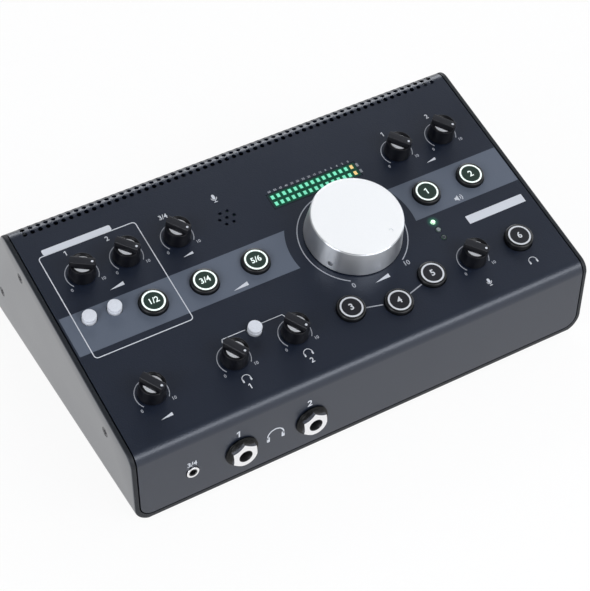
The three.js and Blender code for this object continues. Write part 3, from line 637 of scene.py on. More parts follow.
def make_finishes():
    """All finishes, once, from the colours in the panel."""
    tones = bpy.context.scene.controller_tones

    def tone_of(tone):
        return colour(tone) if tone.startswith("#") else getattr(tones, tone)

    def coat(key, name, tone, *sizes, **values):
        FINISH[key] = grained(name, tone_of(tone), *sizes, **values)

    def lens(key, name, tone, strength, base):
        FINISH[key] = glowing(name, tone_of(tone), strength, colour(base))

    # Satin powder coat on steel sheet: near black, a soft sheen and a fine orange peel, which is
    # drawn at 0.8 mm, about twice its real size, so that it shows
    values = {"Specular_IOR_Level": 0.58, "Specular_Tint": colour("#dfe5f2")}
    values.update({"Coat_Weight": 0.36, "Coat_Roughness": 0.22})
    # Painted glow: green emission on the coat round the lit status light stands in for the light
    # that lamp spills
    values["Emission_Color"] = colour("#3fbf8f")
    coat("cover", "powder_coated_cover", "cover", 0.38, 0.8, 0.13, **values)
    painted_glow(FINISH["cover"], PANEL @ Vector((*STATUS[0][1:], 0)), 4.6, 0.25)
    # The same coat under a clear lacquer: at a low angle the walls mirror the room softly
    values = {"Coat_Weight": 1.0, "Coat_Roughness": 0.33, "Specular_Tint": colour("#c4d2f4")}
    coat("chassis", "lacquered_chassis", "chassis", 0.45, 0.8, 0.03, **values)
    # A darker copy of the chassis's coat, without its lacquer, for faces that do not face
    # sideways: painted shade on the rim and lip, where the floor they mirror lies in the housing's
    # shadow
    dull = {"Specular_IOR_Level": 0.3}
    coat("chassis_rim", "powder_coated_rim", "#1d2025", 0.5, 0.8, 0.03, **dull)
    # Screen printed ink: flat and matt beside the coat
    coat("stripe", "screen_printed_stripe", "stripe", 0.5, 0.4, 0.01)
    coat("ink", "screen_printed_grey", "ink", 0.55, 0.3, 0.01)
    coat("white_ink", "screen_printed_white", "white_ink", 0.55, 0.3, 0.01)
    coat("tab_ink", "screen_printed_tab", "#d0d3da", 0.55, 0.3, 0.01)
    coat("faint_ink", "screen_printed_scale", "#a4a6ae", 0.55, 0.3, 0.01)
    # ABS from a smooth mould: deep black with a soft highlight
    soft = {"Specular_IOR_Level": 0.25}
    coat("knob", "smooth_moulded_abs", "knob", 0.34, 0.5, 0.006, 0.03, **soft)
    # The same moulding with a sparked texture: dark grey and even
    coat("knob_bar", "textured_abs", "#0f1119", 0.45, 0.3, 0.02)
    # The flat of the knob's dish in a pale finish: its brightness is a painted highlight of the
    # light overhead, bright and soft
    coat("dish", "silver_lacquer", "#e6e7ea", 0.4, 0.3, 0.004, Metallic=0.25)
    # Aluminium turned, with its top face bead blasted: banded side, and an even top of pale metal
    # made near white, a painted reflection of the light overhead
    centre = PANEL @ Vector((*VOLUME, 0))
    FINISH["spun_side"] = turned_metal("turned_aluminium", tones.volume, centre, 0.3)
    coat("blasted_top", "bead_blasted_aluminium", "#fcfcfc", 0.5, 0.2, 0.006, Metallic=0.06)
    # Polycarbonate caps, dark outside with a lens and a light ring
    coat("cap_side", "moulded_polycarbonate", "#08090c", 0.3, 0.4, 0.01)
    coat("cap_lit", "tinted_polycarbonate_lit", "lens", 0.35, 0.4, 0.01)
    coat("cap", "tinted_polycarbonate", "#1c1c22", 0.35, 0.4, 0.01)
    lens("ring_lit", "light_guide_lit", "ring", 0.8, "#b8c4be")
    lens("number_lit", "number_window_lit", "ring", 0.65, "#b8c4be")
    coat("ring", "light_guide", "#d4d6da", 0.4, 0.4, 0.01)
    # White ABS, satin mould: pale and cool with a soft edge light
    coat("white", "moulded_white_abs", "#dcdfe6", 0.38, 0.5, 0.02, 0.05, 0.14)
    # Smoked acrylic over the meter: the cover's tone, with a painted glow of the lamps' light
    # spilt in it
    soft["Emission_Color"] = colour("#00553a")
    coat("window", "smoked_acrylic", "#2b2e38", 0.3, 0.8, 0.004, 0.02, **soft)
    painted_row_glow(FINISH["window"], 0.8)
    lens("green", "signal_lens", "signal", 0.62, "#4fa487")
    lens("yellow", "warning_lens", "warning", 0.62, "#a8864a")
    lens("power", "power_lens", "#d8ffe0", 1.2, "#9fd8b0")
    coat("led_dim", "diffused_lens", "#85898f", 0.3, 0.4, 0.005)
    coat("led_off", "smoked_lens", "#3a3c44", 0.3, 0.4, 0.005)
    # Glass filled nylon: dull black with a fine grain
    coat("black", "moulded_nylon", "#141517", 0.45, 0.4, 0.02)
    shine = {"Specular_IOR_Level": 0.15}
    coat("gloss_black", "moulded_gloss_nylon", "#060708", 0.12, 0.8, 0.005, 0.02, **shine)
    # Plated metals: bright nickel, dull zinc, blackened zinc and silvered contacts
    metal = {"Metallic": 1.0}
    coat("nickel", "nickel_plated_brass", "#ececee", 0.16, 0.6, 0.004, 0.04, 0.02, **metal)
    coat("steel", "zinc_plated_steel", "#a9abb0", 0.28, 0.4, 0.01, 0.06, 0.04, **metal)
    coat("dark_steel", "blackened_steel", "#3c3d42", 0.35, 0.4, 0.01, 0.06, 0.04, **metal)
    coat("contact", "silvered_contact", "#b9b6ad", 0.3, 0.3, 0.01, 0.05, 0.05, **metal)
    # Moulded rubber: flat black
    coat("rubber", "moulded_rubber", "#17181a", 0.8, 0.5, 0.05)
    # Glass fibre board under a green solder mask
    coat("board", "solder_masked_board", "#1d5a36", 0.4, 0.3, 0.02)


# Trees of repeated forms --------------------------------------------------------------


def new_tree(name, **sockets):
    """A node tree with its named inputs, and what they give."""
    tree = bpy.data.node_groups.new(name, "GeometryNodeTree")
    ports = tree.interface
    ports.new_socket("Geometry", in_out="INPUT", socket_type="NodeSocketGeometry")
    for key, kind in sockets.items():
        ports.new_socket(key.replace("_", " "), in_out="INPUT", socket_type="NodeSocket" + kind)
    ports.new_socket("Geometry", in_out="OUTPUT", socket_type="NodeSocketGeometry")
    return tree, node(tree, "NodeGroupInput").outputs


def moved(tree, geometry, way):
    """Geometry moved by a vector."""
    return feed(tree, "GeometryNodeTransform", {"Geometry": geometry, "Translation": way})


def copied(tree, points, instance, **turn):
    """A copy of an instance on each point."""
    links = {"Points": points, "Instance": instance, **turn}
    return feed(tree, "GeometryNodeInstanceOnPoints", links)


def close_tree(tree, geometry, *finishes):
    """Makes the copies real and gives them their finishes, each on all or on a selection."""
    geometry = feed(tree, "GeometryNodeRealizeInstances", {"Geometry": geometry})
    for finish in finishes:
        geometry = feed(tree, "GeometryNodeSetMaterial", {"Geometry": geometry, **finish})
    node(tree, "NodeGroupOutput", {"Geometry": geometry})
    return tree


def run_tree(target, tree, **values):
    """Runs a node tree on an object with named inputs and keeps the plain mesh."""
    change = target.modifiers.new(tree.name, "NODES")
    change.node_group = tree
    sockets = {
        item.name: item.identifier
        for item in tree.interface.items_tree
        if item.in_out == "INPUT" and item.name != "Geometry"
    }
    for name, value in values.items():
        change[sockets[name.replace("_", " ")]] = value
    return settle(target)


# Housing ------------------------------------------------------------------------------


SLOPE_UP = math.pi / 2 + SLOPE  # the slope's normal in the side view, from the depth axis
BACK_TOP = (HOUSING_DEPTH - FRONT_HEIGHT * math.tan(BACK_LEAN)) / (
    1 + math.tan(SLOPE) * math.tan(BACK_LEAN)
)
SLOPE_LENGTH = BACK_TOP / math.cos(SLOPE) - BACK_BEND * math.tan((SLOPE_UP - BACK_LEAN) / 2)
FRONT_CENTRE = (FRONT_BEND, FRONT_HEIGHT - FRONT_BEND * math.tan((math.pi / 2 - SLOPE) / 2))
BACK_CENTRE = (
    SLOPE_LENGTH * math.cos(SLOPE) + BACK_BEND * math.sin(SLOPE),
    FRONT_HEIGHT + SLOPE_LENGTH * math.sin(SLOPE) - BACK_BEND * math.cos(SLOPE),
)


def wrap(depth, foot):
    """The side view's path over front, slope and back, a depth inside the cover's face."""
    last = HOUSING_DEPTH - foot * math.tan(BACK_LEAN) - depth / math.cos(BACK_LEAN)
    return [
        (depth, foot),
        *arc(*FRONT_CENTRE, FRONT_BEND - depth, math.pi, SLOPE_UP, 24),
        *arc(*BACK_CENTRE, BACK_BEND - depth, SLOPE_UP, BACK_LEAN, 24),
        (last, foot),
    ]


def side_view():
    """The chassis's side view, closed along the floor."""
    reach = SILL_BEND * (1 + math.sin(BACK_LEAN)) / math.cos(BACK_LEAN)
    front = arc(SILL_BEND, SILL_BEND, SILL_BEND, -math.pi / 2, -math.pi, 8)
    back = arc(HOUSING_DEPTH - reach, SILL_BEND, SILL_BEND, BACK_LEAN, -math.pi / 2, 8)
    return front + wrap(0, SILL_BEND)[1:-1] + back


def tub(half, floor, radius, top):
    """The front view's outline: straight sides and round lower corners."""
    right = arc(half - radius, floor + radius, radius, -math.pi / 2, 0, 16)
    left = arc(radius - half, floor + radius, radius, -math.pi, -math.pi / 2, 16)
    return [*right, (half, top), (-half, top), *left]


def along_x(outline, low, high, edge=0.0):
    """A side view's outline as a solid across the housing."""
    return Shape().add(prism(outline, low, high, edge), ACROSS)


def along_y(outline, low, high, edge=0.0):
    """A front view's outline as a solid from front to back."""
    return Shape().add(prism(outline, low, high, edge), LENGTHWISE)


def side_normal(y, z):
    """The outward direction of the cover's face at a point of the side view."""
    bends = ((FRONT_CENTRE, math.pi, SLOPE_UP), (BACK_CENTRE, SLOPE_UP, BACK_LEAN))
    for centre, start, end in bends:
        turn = math.atan2(z - centre[1], y - centre[0])
        if end <= turn <= start:
            return Vector((0, math.cos(turn), math.sin(turn)))
    if y < FRONT_CENTRE[0]:
        return Vector((0, -1, 0))
    lean = BACK_LEAN if turn < BACK_LEAN and y > BACK_CENTRE[0] else SLOPE_UP
    return Vector((0, math.cos(lean), math.sin(lean)))


def smooth_sheet(made):
    """Gives bent sheet its true normals, so that holes leave no ripples in the sheen."""
    mesh = made.data
    away = HOUSING.inverted()
    mesh.shade_smooth()
    normals = [None] * len(mesh.loops)
    for face in mesh.polygons:
        for loop in face.loop_indices:
            point = away @ mesh.vertices[mesh.loops[loop].vertex_index].co
            true = side_normal(point.y, point.z)
            lean = true.dot(face.normal)
            normals[loop] = true if lean > 0.97 else -true if lean < -0.97 else face.normal
    mesh.normals_split_custom_set(normals)


def cover_tools():
    """Everything that cuts through the cover's slope, front and back."""
    holes = [(on_panel(u, v), KNOB_BORE, 32) for _, u, v, _ in SMALL_KNOBS]
    holes += [(on_panel(u, v), LIT_BORE, 64) for _, u, v, *_ in LIT_BUTTONS]
    holes += [(on_panel(u, v), WHITE_BORE, 48) for _, u, v in WHITE_BUTTONS]
    holes.append((on_panel(*VOLUME), VOLUME_BORE, 32))
    holes += [(on_panel(u, v), STATUS_BORE, 24) for _, u, v in STATUS]
    turns = [math.tau * i / 6 for i in range(6)]
    ring = [(VOICE_RING * math.cos(a), VOICE_RING * math.sin(a)) for a in turns]
    for x, y in [(0, 0), *ring]:
        holes.append((on_panel(MICROPHONE[0] + x, MICROPHONE[1] + y), VOICE_BORE, 24))
    holes += [(on_front(x), PHONE_BORE, 48) for _, x in PHONES_JACKS]
    holes.append((on_front(MINI_JACK), MINI_BORE, 48))
    holes += [(on_back(x), radius, 64) for x, radius in REAR_BORES]
    tools = Shape()
    for place, radius, steps in holes:
        tools.add(rod(radius, -BEYOND, BEYOND, steps), place)
    (u, v), (w, h) = METER, METER_WINDOW
    slots = [(PANEL, oblong(u - w, v - h, u + w, v + h))]
    for x, width, height in REAR_SLOTS:
        w, h = width / 2 + 0.3, height / 2 + 0.3
        slots.append((on_back(x), oblong(-w, -h, w, h)))
    for place, outline in slots:
        tools.add(prism(outline, -BEYOND, BEYOND), place)
    return tools


def vent_tree():
    """Nodes that punch rows of round vents round the cover's back bend."""
    tree, given = new_tree(
        "Vent rows",
        Vent_Radius="Float",
        Pitch="Float",
        Columns="Int",
        Rows="Int",
        Row_Pitch="Float",
        Bend_Radius="Float",
        Slope_Angle="Float",
        Bend_Centre="Vector",
        Finish="Material",
    )
    deep = calc(tree, "MULTIPLY", given["Bend Radius"], 1.2)
    size = {"Vertices": 16, "Radius": given["Vent Radius"], "Depth": deep}
    punch = feed(tree, "GeometryNodeMeshCylinder", size)
    placed = moved(tree, punch, xyz(tree, Z=given["Bend Radius"]))
    gaps = calc(tree, "SUBTRACT", given["Columns"], 1.0)
    first = calc(tree, "MULTIPLY", calc(tree, "MULTIPLY", gaps, given["Pitch"]), -0.5)
    step = xyz(tree, X=given["Pitch"])
    line = {"Count": given["Columns"], "Start Location": xyz(tree, X=first), "Offset": step}
    row = copied(tree, feed(tree, "GeometryNodeMeshLine", line), placed)
    whole_row = feed(tree, "GeometryNodeGeometryToInstance", {"Geometry": row})
    stack = {"Count": given["Rows"], "Offset": (0.0, 0.0, 0.0)}
    swing = calc(tree, "DIVIDE", given["Row Pitch"], given["Bend Radius"])
    turn = calc(tree, "MULTIPLY", swing, feed(tree, "GeometryNodeInputIndex"))
    tilt = xyz(tree, X=calc(tree, "SUBTRACT", given["Slope Angle"], turn))
    rows = copied(tree, feed(tree, "GeometryNodeMeshLine", stack), whole_row, Rotation=tilt)
    at_bend = moved(tree, rows, given["Bend Centre"])
    solid = feed(tree, "GeometryNodeRealizeInstances", {"Geometry": at_bend})
    both = {"Mesh 1": given["Geometry"], "Mesh 2": solid}
    punched = feed(tree, "GeometryNodeMeshBoolean", both, operation="DIFFERENCE")
    return close_tree(tree, punched, {"Material": given["Finish"]})


class CONTROLLER_OT_cover(bpy.types.Operator):
    """Build the bent sheet cover with its holes and vents"""

    bl_idname = "controller.cover"
    bl_label = "Top Cover"

    def execute(self, context):
        sizes = context.scene.controller_sizes
        outline = wrap(0, COVER_FOOT) + wrap(COVER_SHEET, COVER_FOOT)[::-1]
        made = loose(along_x(outline, -COVER_HALF, COVER_HALF), HOUSING)
        flanges = Shape()
        start, end = (SLOPE_LENGTH * share for share in FLANGE_SPAN)
        within = COVER_SHEET / 2
        for left in (-COVER_HALF, COVER_HALF - COVER_SHEET):
            low, high = (left, start + NOTCH, -FLANGE), (left + COVER_SHEET, end - NOTCH, -within)
            flanges.add(block(low, high), PANEL)
        run, top = (COVER_HALF - CORNER) * FLANGE_RUN, COVER_FOOT + COVER_SHEET
        rear = HOUSING_DEPTH - top * math.tan(BACK_LEAN)
        for near, far in ((within, FLANGE), (rear - FLANGE, rear - within)):
            flanges.add(block((-run, near, COVER_FOOT), (run, far, top)), HOUSING)
        unite(made, flanges)
        corners = tub(COVER_HALF, COVER_FOOT, CORNER, ABOVE)
        cross(made, along_y(corners, -BEYOND, HOUSING_DEPTH + BEYOND), HOUSING)
        cut(made, cover_tools())
        run_tree(
            made,
            vent_tree(),
            Vent_Radius=sizes.vent_diameter / 2,
            Pitch=sizes.vent_pitch,
            Columns=sizes.vent_columns,
            Rows=sizes.vent_rows,
            Row_Pitch=sizes.vent_row_pitch,
            Bend_Radius=BACK_BEND * MM,
            Slope_Angle=SLOPE,
            Bend_Centre=tuple(HOUSING @ Vector((0, *BACK_CENTRE))),
            Finish=FINISH["cover"],
        )
        smooth_sheet(made)
        dress(made, "cover_sheet", "cover", None, "top_cover", "cover_paint", crease=0)
        return {"FINISHED"}


class CONTROLLER_OT_chassis(bpy.types.Operator):
    """Build the chassis tray with its round lower bends"""

    bl_idname = "controller.chassis"
    bl_label = "Chassis"

    def execute(self, context):
        made = loose(along_x(side_view(), -WALL, WALL, CHASSIS_EDGE), HOUSING)
        front = tub(WALL, 0, LOWER_BEND, ABOVE)
        cross(made, along_y(front, 0, HOUSING_DEPTH, CHASSIS_EDGE), HOUSING)
        inner, bend = WALL - CHASSIS_WALL, LOWER_BEND - CHASSIS_WALL
        for floor, inwards in ((FLOOR, LIP_DEPTH), (LIP_HEIGHT, -BEYOND)):
            room = tub(inner, floor, bend, ABOVE + 10)
            cut(made, along_y(room, inwards, HOUSING_DEPTH - inwards), HOUSING)
        sinks = Shape()
        for side in (-1, 1):
            turn = Matrix.Rotation(side * math.pi / 2, 4, "Y")
            for y, z in SIDE_SCREWS:
                place = HOUSING @ Matrix.Translation((side * WALL, y, z)) @ turn
                sinks.add(lathe([(0, -1.6), (1.6, -1.6), (3, -0.1), (3, 2), (0, 2)], 48), place)
        cut(made, sinks)
        # Faces that do not face sideways take the darker copy of the coat: painted shade
        mark_faces(made, 1, lambda at, way: abs(way.x) < 0.7)
        finishes = "chassis chassis_rim"
        dress(made, "chassis_tray", finishes, None, "chassis", "chassis_paint")
        return {"FINISHED"}


class CONTROLLER_OT_feet(bpy.types.Operator):
    """Build the four rubber feet"""

    bl_idname = "controller.feet"
    bl_label = "Feet"

    def execute(self, context):
        profile = [(0, 1.5), (3.5, 1.5), (3.5, 0), (6.2, 0, 0.6), (7, 3, 0), (0, 3)]
        for name in ("foot_front_left", "foot_front_right", "foot_back_left", "foot_back_right"):
            low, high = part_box(name)
            centre = (low + high) / 2
            place = Matrix.Translation((centre.x, centre.y, 0)) @ Matrix.Scale(MM, 4)
            build("rubber_" + name, turned(profile, 48), "rubber", place, name, "foot_rubber")
        return {"FINISHED"}


# Controls -----------------------------------------------------------------------------


class CONTROLLER_OT_small_knobs(bpy.types.Operator):
    """Build the small knobs with a grip bar across a dish, whose pale floor is a painted highlight
    """

    bl_idname = "controller.small_knobs"
    bl_label = "Small Knobs"

    def execute(self, context):
        skirt = [(0, 8.2), (3.25, 8.2), (3.25, 3), (5.6, 3), (5.6, 0.6), (7.8, 0.6, 0.3)]
        dish = [(7.12, 10.4, 0.35), (6.4, 10.4, 0.3), (5.25, 9.5, 0.1), (0, 9.5)]
        section = rounded([(-3.3, 9.2), (3.3, 9.2), (2.2, 13.2, 0.5), (-2.2, 13.2, 0.5)])
        out = Matrix.Translation((5.2, 0, 0))
        for name, u, v, pointer in SMALL_KNOBS:
            made = loose(turned(skirt + dish, 72))
            grip = loose(along_x(section, -8, 8))
            unite(made, cross(grip, rod(7.1, 0, 20, 72)))
            cut(made, Shape().add(rod(0.75, 12.9, 15, 24), out))
            mark_faces(made, 1, lambda at, way: at.z > 13.0)
            # The flat floor of the dish takes the pale finish: a painted highlight
            mark_faces(
                made, 2, lambda at, way: 9.4 < at.z < 9.6 and at.xy.length < 5.2 and way.z > 0.7
            )
            place, body = on_panel(u, v, pointer), name + "_control"
            fixings = (name + "_knob", "gloss_knob", body, 28)
            dress(made, name + "_cap", "knob knob_bar dish", place, *fixings)
            dot = rod(0.7, 12.85, 13.16, 24)
            build(name + "_dot", dot, "white_ink", place @ out, body=body)
        return {"FINISHED"}


class CONTROLLER_OT_volume_knob(bpy.types.Operator):
    """Build the turned aluminium volume knob"""

    bl_idname = "controller.volume_knob"
    bl_label = "Volume Knob"

    def execute(self, context):
        hub = [(0, 15), (3.25, 15), (3.25, 4), (8.4, 4), (8.4, 12.2), (23.4, 12.2, 1)]
        wheel = [(25, 0.8), (28.2, 0.8, 0.25), (26.6, 18.16, 0.95), (0, 18.16)]
        made = loose(turned(hub + wheel, 160))
        side = Matrix.Rotation(math.radians(211), 4, "Z") @ Matrix.Translation((0, 0, 5))
        side = side @ Matrix.Rotation(math.pi / 2, 4, "Y")
        cut(made, rod(1.6, 8.4, 34, 32), side)
        bowl = turned([(0, 17.87), (1.2, 17.87, 0.25), (1.2, 23), (0, 23)], 32)
        turn = Matrix.Rotation(math.radians(VOLUME_POINTER), 4, "Z")
        cut(made, bowl, turn @ Matrix.Translation((20.4, 0, 0)))
        # The top face takes the near white finish: pale metal with a painted reflection
        mark_faces(made, 1, lambda at, way: at.z > 17.6 and way.z > 0.95)
        place = on_panel(*VOLUME)
        fixings = ("volume_knob", "spun_aluminium", "volume", 28)
        dress(made, "volume_wheel", "spun_side blasted_top", place, *fixings)
        socket = [(0, 0), (0.75, 0), (0.75, 1.5), (1.5, 1.5), (1.5, -4), (0, -4)]
        place = place @ side @ Matrix.Translation((0, 0, 24.6))
        screw = turned(socket, 6)
        build("volume_grub_screw", screw, "steel", place, "", "shaft_steel", "volume")
        return {"FINISHED"}


class CONTROLLER_OT_lit_buttons(bpy.types.Operator):
    """Build the round lit buttons with their light rings and numbers"""

    bl_idname = "controller.lit_buttons"
    bl_label = "Lit Buttons"

    def execute(self, context):
        finishes = {"lit": "cap_side ring_lit number_lit cap_lit"}
        finishes["unlit"] = "cap_side ring ring cap"
        for name, u, v, text, state in LIT_BUTTONS:
            top = 4 if name == "cue" else 2.7
            low, high = top - 0.1, top + 0.06
            side = [(0, -3), (8.1, -3), (8.1, top - 0.25, 0.7), (7.0, top, 0.2), (0, top)]
            ring = [(5.6, low), (6.95, low), (6.95, top - 0.02), (5.6, high)]
            lens = [(0, low), (5.6, low), (5.6, top + 0.02), (0, top + 0.02)]
            size = 5.6 if len(text) < 2 else 5.0
            place = on_panel(u, v)
            cap = Shape().add(turned(side, 80, bend_steps=6), place)
            cap.add(block((-2, -2, -7.0), (2, 2, -2.9)), place)
            cap.add(lathe(ring, 80, True), place, 1)
            cap.add(numeral(text, size, low, high), place, 2)
            cap.add(turned(lens, 80), place, 3)
            fixings = (name + "_button", "lit_cap", name + "_push", 40)
            build(name + "_lit_cap", cap, finishes[state], None, *fixings)
        return {"FINISHED"}


class CONTROLLER_OT_white_buttons(bpy.types.Operator):
    """Build the small white push buttons"""

    bl_idname = "controller.white_buttons"
    bl_label = "White Buttons"

    def execute(self, context):
        groove = [(4.05, 1.5), (3.6, 1.65), (3.6, 2.1), (4.0, 2.25)]
        profile = [(0, -2.2), (4.05, -2.2), *groove, (4.0, 3.9, 0.45), (0, 3.9)]
        for name, u, v in WHITE_BUTTONS:
            cap = Shape().add(turned(profile, 56, bend_steps=6))
            cap.add(block((-2, -2, -6.2), (2, 2, -2.1)))
            fixings = (name + "_button", "white_plastic", name + "_push")
            build(name + "_white_cap", cap, "white", on_panel(u, v), *fixings)
        return {"FINISHED"}


def segment_tree():
    """Nodes that lay out the meter's rows of light segments, the last ones in a second colour."""
    tree, given = new_tree(
        "Meter segments",
        Columns="Int",
        Rows="Int",
        Pitch="Float",
        Row_Pitch="Float",
        Size="Vector",
        First_Warm="Int",
        Cool="Material",
        Warm="Material",
    )
    total = calc(tree, "MULTIPLY", given["Columns"], given["Rows"])
    line = feed(tree, "GeometryNodeMeshLine", {"Count": total, "Offset": (0, 0, 0)})
    index = feed(tree, "GeometryNodeInputIndex")
    row = calc(tree, "FLOOR", calc(tree, "DIVIDE", index, given["Columns"]))
    column = calc(tree, "MODULO", index, given["Columns"])
    across = calc(tree, "MULTIPLY", column, given["Pitch"])
    below = calc(tree, "MULTIPLY", calc(tree, "MULTIPLY", row, given["Row Pitch"]), -1.0)
    spots = {"Geometry": line, "Position": xyz(tree, X=across, Y=below)}
    spread = feed(tree, "GeometryNodeSetPosition", spots)
    late = calc(tree, "SUBTRACT", column, given["First Warm"])
    warm = calc(tree, "GREATER_THAN", late, -0.5)
    store = {"Geometry": spread, "Name": "warm", "Value": warm}
    marked = feed(tree, "GeometryNodeStoreNamedAttribute", store)
    copies = copied(tree, marked, feed(tree, "GeometryNodeMeshCube", {"Size": given["Size"]}))
    flag = feed(tree, "GeometryNodeInputNamedAttribute", {"Name": "warm"}, data_type="FLOAT")
    late_ones = {"Selection": calc(tree, "GREATER_THAN", flag, 0.5), "Material": given["Warm"]}
    return close_tree(tree, copies, {"Material": given["Cool"]}, late_ones)


class CONTROLLER_OT_meter(bpy.types.Operator):
    """Build the level meter's window and segments and the status lights"""

    bl_idname = "controller.meter"
    bl_label = "Meter and Lights"

    def execute(self, context):
        sizes = context.scene.controller_sizes
        (u, v), (w, h) = METER, METER_PANE
        pane = prism(oblong(u - w, v - h, u + w, v + h, 0.5), -1.2, -0.02)
        build("meter_pane", pane, "window", PANEL, "meter_window", "dark_glass")
        lamps = loose(Shape())
        run_tree(
            lamps,
            segment_tree(),
            Columns=sizes.meter_columns,
            Rows=2,
            Pitch=sizes.meter_pitch,
            Row_Pitch=(METER_ROWS[0] - METER_ROWS[1]) * MM,
            Size=(1.9 * MM, 2.6 * MM, 0.12 * MM),
            First_Warm=sizes.meter_columns - 1,
            Cool=FINISH["green"],
            Warm=FINISH["yellow"],
        )
        # The nodes lay the lights out in metres on the flat, and the mesh is then set on the slope
        place = on_panel(METER_START, METER_ROWS[0]) @ Matrix.Scale(1 / MM, 4)
        dress(lamps, "meter_segments", "", place, slot="dark_glass", crease=0)
        spent = Shape()
        x = METER_START + METER_LIGHTS * METER_PITCH
        for row in METER_ROWS:
            spent.add(block((x - 0.75, row - 1.2, -0.05), (x + 0.75, row + 1.2, 0.07)))
        build("meter_overload_segments", spent, "led_dim", PANEL)
        lens = turned([(0, -2), (1.5, -2), (1.5, 0.4, 0.8), (0, 0.7)], 24, bend_steps=6)
        for state, u, v in STATUS:
            finish = {"lit": "power", "dim": "led_dim", "unlit": "led_off"}[state]
            build("status_light_" + state, lens, finish, on_panel(u, v))
        return {"FINISHED"}


# Sockets ------------------------------------------------------------------------------


def hex_nut(low, high):
    """A hexagon nut with a corner up and its outer corners turned off."""
    corner = NUT_FLATS / 2 / math.cos(math.pi / 6)
    turns = [math.pi / 2 + math.pi / 3 * i for i in range(6)]
    outline = [(corner * math.cos(a), corner * math.sin(a)) for a in turns]
    rim = [(corner, high - 0.75), (NUT_FLATS / 2 - 0.15, high)]
    nut = loose(prism(outline, low, high))
    cross(nut, lathe([(0, low), (corner, low), *rim, (0, high)], 72))
    return cut(nut, rod(4.05, low - 1, high + 1, 48))


def phone_jack(name, solid, place, proud, washer, drop):
    """A quarter inch jack: moulded body with a threaded nose, washer, nut and inner contact."""
    tip, foot = proud - 0.12, proud - 21
    made = loose(block((-8, -drop, -25.8), (8, 8, -1.8), 0.5))
    thread = [(4.02 if k % 2 else 3.85, tip - 0.25 * (9.4 - k)) for k in range(1, 10)]
    unite(made, lathe([(0, -3), (4, -3), *thread, (3.95, tip), (0, tip)], 48))
    bore = [(0, foot), (3.3, foot), (3.3, tip - 1.2), (3.8, tip + 0.05), (3.8, 9), (0, 9)]
    cut(made, lathe(bore, 48))
    dress(made, name + "_moulding", "black", place, solid, "black_plastic", crease=40)
    ring = [(4.2, 0.3), (washer, 0.3), (washer, 1.15, 0.4), (8.5, 1.3, 0.2), (8.3, 1.75, 0.3)]
    build(name + "_washer", turned([*ring, (4.2, 1.75)], 72, True), "gloss_black", place)
    dress(hex_nut(1.76, proud), name + "_nut", "nickel", place, crease=25)
    contact = lathe([(2.9, -15.5), (3.28, -15), (3.28, -13.5), (2.9, -13)], 32, True)
    build(name + "_contact", contact, "contact", place)


class CONTROLLER_OT_front_jacks(bpy.types.Operator):
    """Build the two phones jacks and the small line jack at the front"""

    bl_idname = "controller.front_jacks"
    bl_label = "Front Jacks"

    def execute(self, context):
        for name, x in PHONES_JACKS:
            phone_jack("front_" + name, name, on_front(x), 5, 9.8, 12.9)
        place = on_front(MINI_JACK)
        made = loose(block((-5.5, -12.9, -14.8), (5.5, 5.5, -1.8), 0.4))
        unite(made, rod(2.6, -3, 0.55, 40))
        cut(made, rod(1.8, -13, 3, 40))
        dress(made, "mini_jack_moulding", "black", place, "mini_jack", "black_plastic")
        ring = [(2.5, -1.7), (3.68, -1.7), (3.68, 0.7, 0.15), (3.2, 1.0, 0.2), (2.5, 0.75)]
        build("mini_jack_ring", turned(ring, 48, True), "nickel", place)
        return {"FINISHED"}


